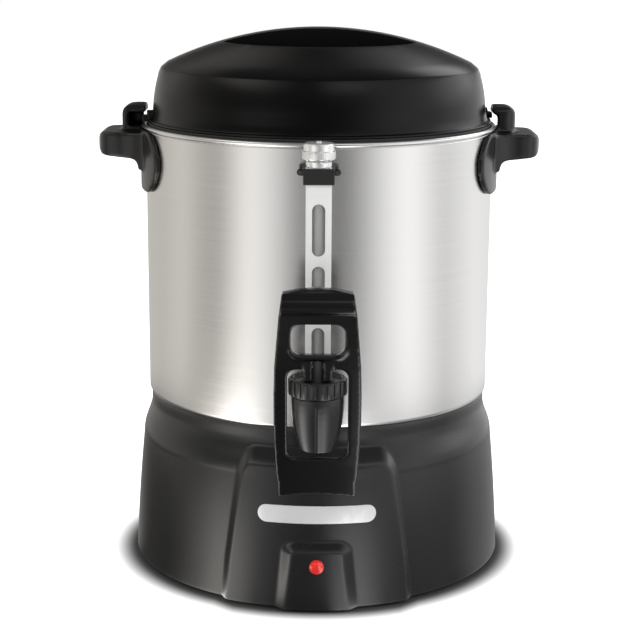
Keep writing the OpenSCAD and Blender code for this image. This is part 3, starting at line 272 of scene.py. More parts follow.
def mathNode(tree, operation, a, b=None, clamp=False):
    node = addNode(tree, "ShaderNodeMath", operation=operation, use_clamp=clamp)
    for i, v in enumerate((a, b)):
        if isinstance(v, (int, float)):
            node.inputs[i].default_value = v
        elif v is not None:
            tree.links.new(v, node.inputs[i])
    return node.outputs[0]


def rangeNode(tree, value, start, end, low=0.0, high=1.0, smooth=False):
    node = addNode(tree, "ShaderNodeMapRange", interpolation_type="SMOOTHSTEP" if smooth else "LINEAR",
                   Value=value, From_Min=start, From_Max=end, To_Min=low, To_Max=high)
    return node.outputs["Result"]


def noiseNode(tree, vector, scale, detail, roughness=0.5):
    node = addNode(tree, "ShaderNodeTexNoise", Vector=vector, Scale=scale, Detail=detail,
                   Roughness=roughness)
    return node.outputs["Fac"]


def rampNode(tree, source, stops):
    node = tree.nodes.new("ShaderNodeValToRGB")
    ramp = node.color_ramp
    ramp.elements.remove(ramp.elements[1])
    for i, (place, tone) in enumerate(stops):
        element = ramp.elements[0] if i == 0 else ramp.elements.new(place)
        element.position = place
        element.color = (tone, tone, tone, 1) if isinstance(tone, float) else (*tone, 1)
    tree.links.new(source, node.inputs[0])
    return node.outputs[0]


def mixColor(tree, factor, a, b):
    node = addNode(tree, "ShaderNodeMix", data_type="RGBA")
    for index, v in ((0, factor), (6, a), (7, b)):
        if isinstance(v, tuple):
            node.inputs[index].default_value = (*v, 1)
        else:
            tree.links.new(v, node.inputs[index])
    return node.outputs[2]


def makeEdgeWear():
    # bright worn edges from the mesh's own curvature, broken up by noise
    group, start, end = newGroup("edgeWear", {"Vector": "Vector", "Sharpness": 14.0, "Breakup": 90.0},
                                 {"Mask": "Float"})
    flatTone = 0.505
    geometry = addNode(group, "ShaderNodeNewGeometry")
    rise = mathNode(group, "SUBTRACT", geometry.outputs["Pointiness"], flatTone)
    rise = mathNode(group, "MULTIPLY", rise, start["Sharpness"], True)
    noise = noiseNode(group, start["Vector"], start["Breakup"], 3.0)
    fillNode(group, end, {"Mask": mathNode(group, "MULTIPLY", rise, noise, True)})
    return group


def makeMouldGrain():
    # the fine texture of a moulding, with slow changes in gloss over it
    group, start, end = newGroup("mouldGrain", {"Vector": "Vector", "Grain": 1600.0, "Cloud": 14.0,
                                                "Low Gloss": 0.34, "High Gloss": 0.46},
                                 {"Height": "Float", "Roughness": "Float", "Tone": "Float"})
    cloud = noiseNode(group, start["Vector"], start["Cloud"], 4.0, 0.55)
    fillNode(group, end, {
        "Height": noiseNode(group, start["Vector"], start["Grain"], 2.0, 0.6),
        "Roughness": rangeNode(group, cloud, 0.3, 0.7, start["Low Gloss"], start["High Gloss"]),
        "Tone": cloud})
    return group


def makeBrushing():
    # fine level scratches round an upright drum, in long overlapping strokes
    group, start, end = newGroup("brushing", {"Vector": "Vector", "Fineness": 2600.0, "Stroke": 9.0},
                                 {"Height": "Float", "Streak": "Float", "Band": "Float"})
    split = addNode(group, "ShaderNodeSeparateXYZ", Vector=start["Vector"]).outputs
    # the share of the fineness, the share of the stroke and the detail of each output
    layers = {"Height": (1.0, 1.0, 3.0), "Streak": (0.3, 0.5, 2.0), "Band": (0.01, 0.25, 2.0)}
    for label, (fineShare, strokeShare, detail) in layers.items():
        stroke = mathNode(group, "MULTIPLY", start["Stroke"], strokeShare)
        fine = mathNode(group, "MULTIPLY", start["Fineness"], fineShare)
        join = addNode(group, "ShaderNodeCombineXYZ", X=mathNode(group, "MULTIPLY", split["X"], stroke),
                       Y=mathNode(group, "MULTIPLY", split["Y"], stroke),
                       Z=mathNode(group, "MULTIPLY", split["Z"], fine))
        fillNode(group, end, {label: noiseNode(group, join.outputs[0], 1.0, detail, 0.7)})
    return group


def makeDust():
    # faint dust that lies on faces that look up
    group, start, end = newGroup("dust", {"Vector": "Vector", "Speck": 700.0, "Amount": 0.08},
                                 {"Mask": "Float"})
    bareShare, contrast, fade = 0.45, 3.0, 3.0
    geometry = addNode(group, "ShaderNodeNewGeometry")
    split = addNode(group, "ShaderNodeSeparateXYZ", Vector=geometry.outputs["Normal"])
    up = mathNode(group, "POWER", mathNode(group, "MAXIMUM", split.outputs["Z"], 0.0), fade)
    noise = noiseNode(group, start["Vector"], start["Speck"], 4.0)
    speck = mathNode(group, "MULTIPLY", mathNode(group, "SUBTRACT", noise, bareShare), contrast, True)
    amount = mathNode(group, "MULTIPLY", mathNode(group, "MULTIPLY", up, speck), start["Amount"], True)
    fillNode(group, end, {"Mask": amount})
    return group


groups = {"edgeWear": makeEdgeWear(), "mouldGrain": makeMouldGrain(), "brushing": makeBrushing(),
          "dust": makeDust()}


def newMaterial(name, **values):
    material = bpy.data.materials.new(name)
    material.use_nodes = True
    tree = material.node_tree
    bsdf = fillNode(tree, tree.nodes["Principled BSDF"], values)
    coords = tree.nodes.new("ShaderNodeTexCoord")
    return material, tree, bsdf, coords.outputs["Object"]


def placeGroup(tree, name, vector, **values):
    node = tree.nodes.new("ShaderNodeGroup")
    node.node_tree = groups[name]
    return fillNode(tree, node, {"Vector": vector, **values}).outputs


def finishNode(tree, bsdf, color, roughness, height, strength, depth):
    # joins a colour, a roughness and a bump to the shader
    bump = addNode(tree, "ShaderNodeBump", Strength=strength, Distance=depth, Height=height)
    fillNode(tree, bsdf, {"Base Color": color, "Roughness": roughness, "Normal": bump.outputs[0]})


def scaled(color, factor):
    return tuple(c * factor for c in color)


# shares of a colour, roughness and grain that the finishes have in common, with bump depths in metres
effects = {"toneStops": [(0.3, 0.0), (0.7, 1.0)], "darkTone": 0.86, "lightTone": 1.14, "sharpness": 12.0,
           "coatRoughness": 0.12, "dustColor": (0.25, 0.25, 0.24), "plasticBump": 0.0002,
           "metalBump": 0.0001, "streakTone": 0.93, "streakSpan": (0.25, 0.75),
           "stainTone": (0.98, 0.955, 0.925), "stainStops": [(0.42, 0.0), (0.75, 1.0)], "metalCloud": 35.0}


def mouldedPlastic(name, color, gloss, grain=1600.0, depth=0.12, wear=None, dust=0.0, coat=0.0, ior=1.5):
    # gloss is the lowest and highest roughness, and wear the worn edges' grey and how far they reach
    material, tree, bsdf, vector = newMaterial(name, IOR=ior, Coat_Weight=coat,
                                               Coat_Roughness=effects["coatRoughness"])
    g = placeGroup(tree, "mouldGrain", vector, Grain=grain, Low_Gloss=gloss[0], High_Gloss=gloss[1])
    tone = mixColor(tree, rampNode(tree, g["Tone"], effects["toneStops"]),
                    scaled(color, effects["darkTone"]), scaled(color, effects["lightTone"]))
    if wear:
        edge = placeGroup(tree, "edgeWear", vector, Sharpness=effects["sharpness"] * wear[1])
        tone = mixColor(tree, edge["Mask"], tone, (wear[0],) * 3)
    if dust:
        film = placeGroup(tree, "dust", vector, Amount=dust)
        tone = mixColor(tree, film["Mask"], tone, effects["dustColor"])
    finishNode(tree, bsdf, tone, g["Roughness"], g["Height"], depth, effects["plasticBump"])
    return material


def brushedDrum(name, color, gloss, fineness=2600.0, depth=0.1, anisotropic=0.6, metallic=1.0,
                stain=0.35):
    material, tree, bsdf, vector = newMaterial(name, Metallic=metallic, Anisotropic=anisotropic)
    g = placeGroup(tree, "brushing", vector, Fineness=fineness)
    tone = mixColor(tree, g["Streak"], scaled(color, effects["streakTone"]), color)
    warm = tuple(c * share for c, share in zip(color, effects["stainTone"]))
    tone = mixColor(tree, mathNode(tree, "MULTIPLY", g["Band"], stain), tone, warm)
    roughness = rangeNode(tree, g["Streak"], *effects["streakSpan"], *gloss)
    finishNode(tree, bsdf, tone, roughness, g["Height"], depth, effects["metalBump"])
    tangent = addNode(tree, "ShaderNodeTangent", direction_type="RADIAL", axis="Z")
    tree.links.new(tangent.outputs[0], bsdf.inputs["Tangent"])
    return material


def bareMetal(name, color, gloss, grain=900.0, depth=0.08, stain=(0.5, 0.47, 0.42), stainShare=0.25,
              metallic=1.0):
    material, tree, bsdf, vector = newMaterial(name, Metallic=metallic)
    g = placeGroup(tree, "mouldGrain", vector, Grain=grain, Cloud=effects["metalCloud"],
                   Low_Gloss=gloss[0], High_Gloss=gloss[1])
    share = mathNode(tree, "MULTIPLY", rampNode(tree, g["Tone"], effects["stainStops"]), stainShare)
    finishNode(tree, bsdf, mixColor(tree, share, color, stain), g["Roughness"], g["Height"], depth,
               effects["metalBump"])
    return material


print("shared shader effects made")

plastics = {
    "basePlastic": {"color": (0.011, 0.011, 0.0115), "gloss": (0.25, 0.31), "grain": 1500.0,
                    "wear": (0.07, 0.6), "dust": 0.04},
    "lidPlastic": {"color": (0.001, 0.001, 0.001), "gloss": (0.22, 0.28), "grain": 2200.0, "depth": 0.05,
                   "wear": (0.05, 0.5), "dust": 0.006, "ior": 1.33},
    "handlePlastic": {"color": (0.004, 0.004, 0.0042), "gloss": (0.24, 0.32), "grain": 1800.0, "depth": 0.08,
                      "wear": (0.06, 0.5)},
    "leverPlastic": {"color": (0.003, 0.003, 0.003), "gloss": (0.12, 0.18), "grain": 2400.0, "depth": 0.02,
                     "wear": (0.05, 0.5), "coat": 0.3},
    "tapPlastic": {"color": (0.013, 0.013, 0.0135), "gloss": (0.22, 0.3), "grain": 2000.0, "depth": 0.08,
                   "wear": (0.06, 0.5)},
    "stemPlastic": {"color": (0.17, 0.17, 0.17), "gloss": (0.3, 0.4), "grain": 2000.0, "depth": 0.05,
                    "wear": (0.25, 0.5)},
    "collarPlastic": {"color": (0.018, 0.018, 0.018), "gloss": (0.36, 0.46), "grain": 2000.0, "depth": 0.1,
                      "wear": (0.05, 0.4)},
    "inletPlastic": {"color": (0.02, 0.02, 0.02), "gloss": (0.42, 0.52), "grain": 1400.0, "depth": 0.15,
                     "wear": (0.06, 0.4)},
    "footRubber": {"color": (0.016, 0.016, 0.016), "gloss": (0.62, 0.78), "grain": 1200.0, "depth": 0.25},
    "lidRubber": {"color": (0.02, 0.02, 0.02), "gloss": (0.5, 0.62), "grain": 1500.0, "depth": 0.15},
    "sealSilicone": {"color": (0.5, 0.5, 0.47), "gloss": (0.42, 0.55), "grain": 1100.0},
    "lampBody": {"color": (0.68, 0.67, 0.62), "gloss": (0.35, 0.45), "grain": 1500.0},
    "wireSleeve": {"color": (0.55, 0.51, 0.43), "gloss": (0.6, 0.8), "grain": 1300.0, "depth": 0.5},
    "thermostatPlastic": {"color": (0.08, 0.05, 0.035), "gloss": (0.35, 0.5), "grain": 1500.0},
}
brushedMetals = {
    "tankAluminium": {"color": (0.82, 0.815, 0.805), "gloss": (0.22, 0.26), "depth": 0.06, "anisotropic": 0.3,
                      "stain": 0.2},
    "shieldAluminium": {"color": (0.93, 0.93, 0.925), "gloss": (0.4, 0.5), "fineness": 1500.0, "depth": 0.04,
                        "anisotropic": 0.0, "metallic": 0.15, "stain": 0.1},
    "basketAluminium": {"color": (0.76, 0.76, 0.76), "gloss": (0.28, 0.42), "fineness": 1200.0},
}
bareMetals = {
    "capMetal": {"color": (0.92, 0.92, 0.915), "gloss": (0.16, 0.22), "depth": 0.02, "stainShare": 0.03,
                 "metallic": 0.7},
    "badgeMetal": {"color": (0.78, 0.785, 0.79), "gloss": (0.36, 0.44), "grain": 2400.0, "depth": 0.05,
                   "stain": (0.72, 0.73, 0.73), "stainShare": 0.3, "metallic": 0.3},
    "coverSteel": {"color": (0.6, 0.61, 0.62), "gloss": (0.3, 0.45)},
    "screwSteel": {"color": (0.62, 0.62, 0.64), "gloss": (0.25, 0.4)},
    "springSteel": {"color": (0.66, 0.66, 0.68), "gloss": (0.2, 0.32)},
    "heaterMetal": {"color": (0.42, 0.4, 0.38), "gloss": (0.4, 0.6), "stain": (0.25, 0.18, 0.14),
                    "stainShare": 0.6},
    "pinBrass": {"color": (0.75, 0.58, 0.3), "gloss": (0.22, 0.35), "stain": (0.5, 0.36, 0.2),
                 "stainShare": 0.35},
    "rivetMetal": {"color": (0.2, 0.2, 0.2), "gloss": (0.35, 0.5)},
}


def makeGlass():
    material, tree, bsdf, vector = newMaterial("gaugeGlass", IOR=1.47, Transmission_Weight=0.72)
    g = placeGroup(tree, "mouldGrain", vector, Grain=300.0, Low_Gloss=0.02, High_Gloss=0.06)
    tint = mixColor(tree, g["Tone"], (0.95, 0.955, 0.94), (0.9, 0.905, 0.89))
    fillNode(tree, bsdf, {"Base Color": tint, "Roughness": g["Roughness"]})
    return material


def makeLensRed():
    # the faint emission is painted light: a red glow that stands in for light passing through the lens
    material, tree, bsdf, vector = newMaterial("lensRed", IOR=1.5, Coat_Weight=0.6, Coat_Roughness=0.05,
                                               Emission_Strength=0.12)
    g = placeGroup(tree, "mouldGrain", vector, Grain=900.0, Cloud=260.0, Low_Gloss=0.08, High_Gloss=0.16)
    tone = mixColor(tree, g["Tone"], (0.62, 0.008, 0.008), (0.95, 0.05, 0.04))
    fillNode(tree, bsdf, {"Base Color": tone, "Emission Color": tone, "Roughness": g["Roughness"]})
    return material


finishes = {}
for make, table in ((mouldedPlastic, plastics), (brushedDrum, brushedMetals), (bareMetal, bareMetals)):
    for name, look in table.items():
        finishes[name] = make(name, **look)
finishes["gaugeGlass"] = makeGlass()
finishes["lensRed"] = makeLensRed()

nodeFinish = {
    "base_shell": "basePlastic", "bottom_cover": "coverSteel", "rubber_feet": "footRubber",
    "badge_plate": "badgeMetal", "pilot_lens": "lensRed", "pilot_lamp": "lampBody",
    "power_inlet": "inletPlastic", "inlet_pins": "pinBrass", "inlet_screws": "screwSteel",
    "tank": "tankAluminium", "handle_left": "handlePlastic", "handle_right": "handlePlastic",
    "handle_screws": "screwSteel", "gauge_glass": "gaugeGlass", "gauge_shield": "shieldAluminium",
    "gauge_cap": "capMetal", "gauge_collar": "collarPlastic", "gauge_rivets": "rivetMetal",
    "gauge_seals": "sealSilicone", "tap_body": "tapPlastic", "tap_outer_seal": "sealSilicone",
    "tap_inner_seal": "sealSilicone", "tap_nut": "tapPlastic", "bonnet": "tapPlastic",
    "valve_stem": "stemPlastic", "seat_cup": "sealSilicone", "valve_spring": "springSteel",
    "lever": "leverPlastic", "lever_pin": "springSteel", "pump_well": "basketAluminium",
    "well_gasket": "sealSilicone", "well_nut": "screwSteel", "heater_block": "heaterMetal",
    "heater_terminals": "pinBrass", "warming_element": "heaterMetal",
    "thermostat": "thermostatPlastic", "thermal_fuse": "screwSteel", "tie_rod": "screwSteel",
    "tie_nut": "screwSteel", "lead_wires": "wireSleeve", "basket": "basketAluminium",
    "basket_cover": "basketAluminium", "pump_stem": "basketAluminium", "pump_foot": "basketAluminium",
    "lid_shell": "lidPlastic", "lid_seal": "lidRubber",
}

for nodeName, finish in nodeFinish.items():
    carried = frameNodes[nodeName]
    if not carried.material_slots:
        carried.data.materials.append(finishes[finish])
    for place in carried.material_slots:
        place.material = finishes[finish]


def standIn(piece, finish, body, slotName, *nodes):
    # a finished piece that stands for CAD nodes and moves with their body
    piece.data.materials.clear()
    piece.data.materials.append(finishes[finish])
    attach(piece, body)
    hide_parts(*nodes)


print("finishes made and CAD nodes dressed")

# camera, floor and light

view = {"distance": 1.0958, "height": 0.4078, "pitch": 12.95, "roll": 0.35, "lens": 93.99, "sensor": 36.0,
        "shiftX": 0.0031, "clipStart": 0.05}


def makeCamera():
    camera = newObject("camera", bpy.data.cameras.new("camera"))
    camera.data.lens = view["lens"]
    camera.data.sensor_width = view["sensor"]
    camera.data.shift_x = view["shiftX"]
    camera.data.clip_start = view["clipStart"]
    camera.matrix_world = (Matrix.Translation((0, -view["distance"], view["height"]))
                           @ turned(90 - view["pitch"], "X") @ turned(view["roll"], "Z"))
    bpy.context.scene.camera = camera


# what metal mirrors, as (share of a turn, brightness): on the close floor, on the far floor, level with it
# and higher up, with spans of height for the blends between them
studio = {"fill": 0.5, "ceiling": 0.13, "ceilingSpan": (0.66, 0.8), "rim": 2.2, "rimAim": (0.48, 0.68, 0.56),
          "rimSpan": (0.955, 0.99), "warmEnd": 0.44, "warmFade": 0.1, "warmLoss": (0, 0.035, 0.09),
          "levels": {"roomTones": (0.02, 0.16), "skyTones": (0.36, 0.5)},
          "farTones": [(0.0, 0.8), (0.06, 0.62), (0.17, 0.6), (0.235, 0.74), (0.285, 0.5), (0.32, 0.44),
                       (0.375, 1.16), (0.405, 1.0), (0.434, 0.74), (0.462, 0.36), (0.5, 0.18), (0.545, 0.24),
                       (0.575, 0.5), (0.61, 0.9), (0.66, 1.27), (0.695, 1.05), (0.735, 0.74), (0.775, 0.88),
                       (0.83, 1.05), (1.0, 0.8)],
          "nearTones": [(0.0, 0.5), (0.1, 0.12), (0.2, 0.16), (0.24, 0.4), (0.285, 1.4), (0.325, 3.6),
                        (0.35, 3.6), (0.378, 2.4), (0.405, 0.8), (0.433, 0.4), (0.46, 0.16), (0.48, 0.1),
                        (0.515, 0.16), (0.532, 2.2), (0.56, 3.0), (0.58, 2.2), (0.605, 0.8), (0.64, 0.4),
                        (0.7, 0.35), (0.76, 0.25), (0.83, 0.6), (1.0, 0.5)],
          "roomTones": [(0.0, 0.05), (0.03, 0.08), (0.1, 0.35), (0.15, 0.8), (0.2, 0.75), (0.238, 0.45),
                        (0.277, 0.32), (0.313, 0.2), (0.38, 0.18), (0.43, 0.14), (0.5, 0.1), (0.545, 0.16),
                        (0.573, 0.28), (0.602, 0.55), (0.631, 0.85), (0.662, 0.95), (0.695, 1.05),
                        (0.732, 1.3), (0.773, 2.1), (0.85, 2.2), (0.9, 0.5), (0.96, 0.1), (1.0, 0.05)],
          "skyTones": [(0.0, 0.02), (0.012, 0.08), (0.035, 0.4), (0.15, 0.4), (0.24, 0.5), (0.29, 1.2),
                       (0.33, 2.2), (0.37, 1.6), (0.41, 0.7), (0.46, 0.15), (0.49, 0.15), (0.53, 1.2),
                       (0.57, 1.6), (0.61, 0.9), (0.7, 0.8), (0.78, 0.6), (0.85, 0.5), (0.965, 0.5),
                       (0.988, 0.1), (1.0, 0.02)]}


def turnOf(tree, vector):
    # share of a turn round the upright axis: 0.5 in front, 0.25 at the left, 0.75 at the right
    split = addNode(tree, "ShaderNodeSeparateXYZ", Vector=vector).outputs
    turn = mathNode(tree, "ARCTAN2", split["X"], mathNode(tree, "MULTIPLY", split["Y"], -1.0))
    return split, mathNode(tree, "ADD", mathNode(tree, "MULTIPLY", turn, 0.5 / math.pi), 0.5)


def studioRamp(tree, share, tones):
    # the left side of the studio is a little warm
    stops = []
    for place, tone in studio[tones]:
        warm = min(max((studio["warmEnd"] - place) / studio["warmFade"], 0), 1)
        stops.append((place, [tone * (1 - warm * loss) for loss in studio["warmLoss"]]))
    return rampNode(tree, share, stops)


def mixShader(tree, factor, a, b):
    node = addNode(tree, "ShaderNodeMixShader")
    for i, source in enumerate((factor, a, b)):
        tree.links.new(source, node.inputs[i])
    return node.outputs[0]


floorSizes = {"half": 4.0, "shadowSpan": (0.1236, 0.146), "shadow": (0.08, 0.08, 0.08),
              "paperDark": (0.84, 0.84, 0.84), "paperLight": (0.86, 0.86, 0.86), "grain": 60.0,
              "panelHalf": (0.052, 0.064), "panelReach": 0.0046, "nearFar": (0.42, 0.52),
              "mirrorRadius": 0.12}


def makeFloor():
    s = floorSizes
    half = s["half"]
    floor = meshFrom("floor", [(-half, -half, 0), (half, -half, 0), (half, half, 0), (-half, half, 0)],
                     [(0, 1, 2, 3)], False)
    material, tree, bsdf, vector = newMaterial("floorPaper", Roughness=0.9, Specular_IOR_Level=0.1)
    paper = mixColor(tree, noiseNode(tree, vector, s["grain"], 2.0), s["paperDark"], s["paperLight"])
    # plain white for camera rays, but for a tight shade round the foot and the panels
    far = addNode(tree, "ShaderNodeVectorMath", operation="LENGTH", Vector=vector).outputs["Value"]
    split, share = turnOf(tree, vector)
    aside = mathNode(tree, "ABSOLUTE", split["X"])
    panel = rangeNode(tree, aside, *s["panelHalf"], s["panelReach"], 0.0)
    reach = mathNode(tree, "MULTIPLY", panel, mathNode(tree, "LESS_THAN", split["Y"], 0.0))
    light = rangeNode(tree, mathNode(tree, "SUBTRACT", far, reach), *s["shadowSpan"], smooth=True)
    fillNode(tree, bsdf, {"Base Color": mixColor(tree, light, s["shadow"], paper)})
    # close floor is seen at a smaller turn than the mirrored ray has, so its tones are spread
    twice = mathNode(tree, "MULTIPLY", far, 2.0)
    spread = mathNode(tree, "DIVIDE", twice, mathNode(tree, "SUBTRACT", twice, s["mirrorRadius"]))
    turn = mathNode(tree, "MULTIPLY", mathNode(tree, "SUBTRACT", share, 0.5), spread)
    nearTones = studioRamp(tree, mathNode(tree, "ADD", turn, 0.5, True), "nearTones")
    mirrored = mixColor(tree, rangeNode(tree, far, *s["nearFar"], smooth=True), nearTones,
                        studioRamp(tree, share, "farTones"))
    path = addNode(tree, "ShaderNodeLightPath").outputs
    glow = addNode(tree, "ShaderNodeEmission", Strength=1.0, Color=light)
    seen = addNode(tree, "ShaderNodeAddShader")
    tree.links.new(bsdf.outputs[0], seen.inputs[0])
    tree.links.new(glow.outputs[0], seen.inputs[1])
    tones = addNode(tree, "ShaderNodeEmission", Strength=1.0, Color=mirrored)
    direct = mathNode(tree, "MAXIMUM", path["Is Camera Ray"], path["Is Transmission Ray"])
    plain = mixShader(tree, direct, bsdf.outputs[0], seen.outputs[0])
    surface = mixShader(tree, path["Is Glossy Ray"], plain, tones.outputs[0])
    tree.links.new(surface, tree.nodes["Material Output"].inputs["Surface"])
    floor.data.materials.append(material)


def makeWorld():
    world = bpy.data.worlds.new("studio")
    bpy.context.scene.world = world
    world.use_nodes = True
    tree = world.node_tree
    coords = addNode(tree, "ShaderNodeTexCoord").outputs["Generated"]
    split, share = turnOf(tree, coords)
    room = studioRamp(tree, share, "farTones")
    for tones, heights in studio["levels"].items():
        up = rangeNode(tree, split["Z"], *heights, smooth=True)
        room = mixColor(tree, up, room, studioRamp(tree, share, tones))
    up = rangeNode(tree, split["Z"], *studio["ceilingSpan"], smooth=True)
    room = mixColor(tree, up, room, (studio["ceiling"],) * 3)
    # a strip behind the right shoulder, for the light line along the lid
    aim = addNode(tree, "ShaderNodeVectorMath", operation="DOT_PRODUCT", Vector=coords)
    aim.inputs[1].default_value = Vector(studio["rimAim"]).normalized()
    strip = rangeNode(tree, aim.outputs["Value"], *studio["rimSpan"], smooth=True)
    room = mixColor(tree, strip, room, (studio["rim"],) * 3)
    path = addNode(tree, "ShaderNodeLightPath").outputs
    straight = mathNode(tree, "MAXIMUM", path["Is Camera Ray"], path["Is Transmission Ray"])
    lit = mixColor(tree, path["Is Glossy Ray"], (studio["fill"],) * 3, room)
    fillNode(tree, tree.nodes["Background"], {"Color": mixColor(tree, straight, lit, (1.0, 1.0, 1.0)),
                                              "Strength": 1.0})


softboxes = {
    "leftBox": {"at": (-1.25, -1.05, 0.85), "size": (0.7, 1.1), "power": 9.0, "color": (1.0, 0.985, 0.96)},
    "rightBox": {"at": (1.4, -0.72, 0.85), "size": (0.8, 1.1), "power": 12.0, "color": (1.0, 0.995, 0.985)},
    "topBox": {"at": (0.0, 0.2, 1.7), "size": (1.3, 0.9), "power": 10.0, "color": (1.0, 1.0, 1.0)},
}
lightTarget = Vector((0, 0, 0.17))


def makeLights():
    for name, box in softboxes.items():
        lamp = bpy.data.lights.new(name, "AREA")
        lamp.shape = "RECTANGLE"
        lamp.size, lamp.size_y = box["size"]
        lamp.energy = box["power"]
        lamp.color = box["color"]
        spot = newObject(name, lamp)
        spot.location = box["at"]
        spot.rotation_euler = (lightTarget - Vector(box["at"])).to_track_quat("-Z", "Y").to_euler()
        spot.visible_glossy = False


makeCamera()
makeFloor()
makeWorld()
makeLights()
bpy.context.scene.view_settings.view_transform = "Standard"
print("camera, floor and lights set")

# tank

tankSizes = {"radius": 113.0, "wall": 1.0, "beadRadius": 1.6, "edgeRadius": 2.5, "seamDepth": 0.35,
             "seamHeight": 0.5, "wellRadius": 20.2, "sides": 288, "rowsOverEdge": (0.4, 1.2),
             "rowsUnderSeam": (1.2, 0.6, 0.3), "outerRows": 12, "innerRows": 8}


def span(node, axis):
    # lowest and highest millimetre of a CAD node along an axis
    low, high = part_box(node)
    return low[axis] / mm, high[axis] / mm


def arcPoints(r, z, radius, degrees):
    return [(r + radius * math.cos(a), z + radius * math.sin(a)) for a in map(math.radians, degrees)]


tankLow, tankHigh = span("tank", 2)


def makeTank():
    s = tankSizes
    radius, inner, bead = s["radius"], s["radius"] - s["wall"], s["beadRadius"]
    beadZ = tankHigh - bead
    corner, cornerZ = radius - s["edgeRadius"], tankLow + s["edgeRadius"]
    seam = tankHigh - 2 * bead - s["seamHeight"]
    edge = range(-90, 1, 15)
    # close rows next to the corner and the seam keep the shading between them flat
    heights = [cornerZ + h for h in s["rowsOverEdge"]]
    heights += [mix(cornerZ, seam, t / s["outerRows"]) for t in range(1, s["outerRows"])]
    heights += [seam - h for h in s["rowsUnderSeam"]]
    profile = [(s["wellRadius"], tankLow)] + arcPoints(corner, cornerZ, s["edgeRadius"], edge)
    profile += [(radius, z) for z in heights]
    profile += [(radius - s["seamDepth"], z) for z in (seam, seam + s["seamHeight"])]
    profile += arcPoints(inner + bead, beadZ, bead, range(-80, 181, 20))
    profile += [(inner, mix(beadZ, cornerZ, t / s["innerRows"])) for t in range(s["innerRows"] + 1)]
    profile += arcPoints(corner, cornerZ, s["edgeRadius"] - s["wall"], reversed(edge))
    profile += [(s["wellRadius"], tankLow + s["wall"])]
    tank = sharpen(lathe("tankDrum", profile, sides=s["sides"], closed=True), 50)
    standIn(tank, "tankAluminium", "urn", "tank_aluminium", "tank")


makeTank()
print("tank made")

# base moulding

baseSizes = {"footRadius": 123.2, "shoulderRadius": 117.2, "neckRadius": 111.6, "footZ": 2.0,
             "shoulderZ": 83.0, "neckZ": 106.0, "bulge": 0.6, "wall": 3.0, "flangeRadius": 96.0,
             "shelfRadius": 85.0, "roundEdge": 1.0, "innerRows": (100, 90, 80, 60, 40, 20, 5),
             "turns": [(-180, 0.8), (-166, 2.0), (-34, 0.45), (34, 2.0), (166, 0.8), (180, 1)],
             "rows": [(30, 0.9), (52, 1.8), (82, 0.8), (108, 1.5)], "footRow": 1.5}
archSizes = {"proud": 4.5, "top": 100.5, "ledge": 9.5, "band": 5.0, "corner": 2.0, "farthest": 1.0,
             "halfWidth": [(0, 60.0), (29, 57.3), (60, 53.2), (85, 49.6), (106, 46.5)]}
lampSizes = {"proud": 4.6, "top": 44.4, "ledge": 5.0, "band": 6.0, "corner": 1.35,
             "halfWidth": [(0, 25.0), (12, 23.6), (30, 21.7), (46, 20.2)], "holeRadius": 4.2,
             "holeSpan": (100, 160)}
inletPad = {"face": 124.25, "halfWidth": 21.0, "low": 19.0, "high": 49.0, "edge": 1.6, "nearest": 2.7,
            "holeHalf": 14.1, "holeRim": 3.9, "holeSpan": (90, 140)}
pilotZ = sum(span("pilot_lens", 2)) / 2


def taperRadius(z):
    # the skirt's straight taper with its slight bulge, and how far up it a height is
    s = baseSizes
    t = (z - s["footZ"]) / (s["shoulderZ"] - s["footZ"])
    return mix(s["footRadius"], s["shoulderRadius"], t), s["bulge"] * math.sin(math.pi * min(t, 1.0))


def skirtRadius(z):
    s = baseSizes
    if z >= s["neckZ"]:
        return s["neckRadius"]
    if z >= s["shoulderZ"]:
        t = (z - s["shoulderZ"]) / (s["neckZ"] - s["shoulderZ"])
        return mix(s["shoulderRadius"], s["neckRadius"], (1 - math.cos(math.pi * t)) / 2)
    return sum(taperRadius(z))


def archShare(sizes, x, z):
    # 0 outside an arch, 1 on its flat face, with rounded shoulders between
    side = (polyline(sizes["halfWidth"], z) - abs(x)) / sizes["band"]
    top = (sizes["top"] - z) / sizes["ledge"]
    k = sizes["corner"]
    if side < k and top < k:
        return straightStep(k - math.hypot(k - side, k - top))
    return straightStep(min(side, top))


def baseRadius(angle, z):
    r = skirtRadius(z)
    x = r * math.sin(angle)
    if abs(angle) < archSizes["farthest"]:
        # the arch panel keeps the skirt's taper past the shoulder
        r = mix(r, sum(taperRadius(z)) + archSizes["proud"], archShare(archSizes, x, z))
        r += lampSizes["proud"] * archShare(lampSizes, x, z)
    pad = inletPad
    if abs(angle) > pad["nearest"]:
        near = min(pad["halfWidth"] - abs(x), z - pad["low"], pad["high"] - z) / pad["edge"] + 0.5
        r = max(r, mix(r, pad["face"] / abs(math.cos(angle)), smoothStep(near)))
    return r


def stepsOf(stops):
    # angles or heights from (value, step to the next) pairs
    out = []
    for (a, step), (b, _) in zip(stops, stops[1:]):
        count = max(1, round((b - a) / step))
        out += [mix(a, b, i / count) for i in range(count)]
    return out


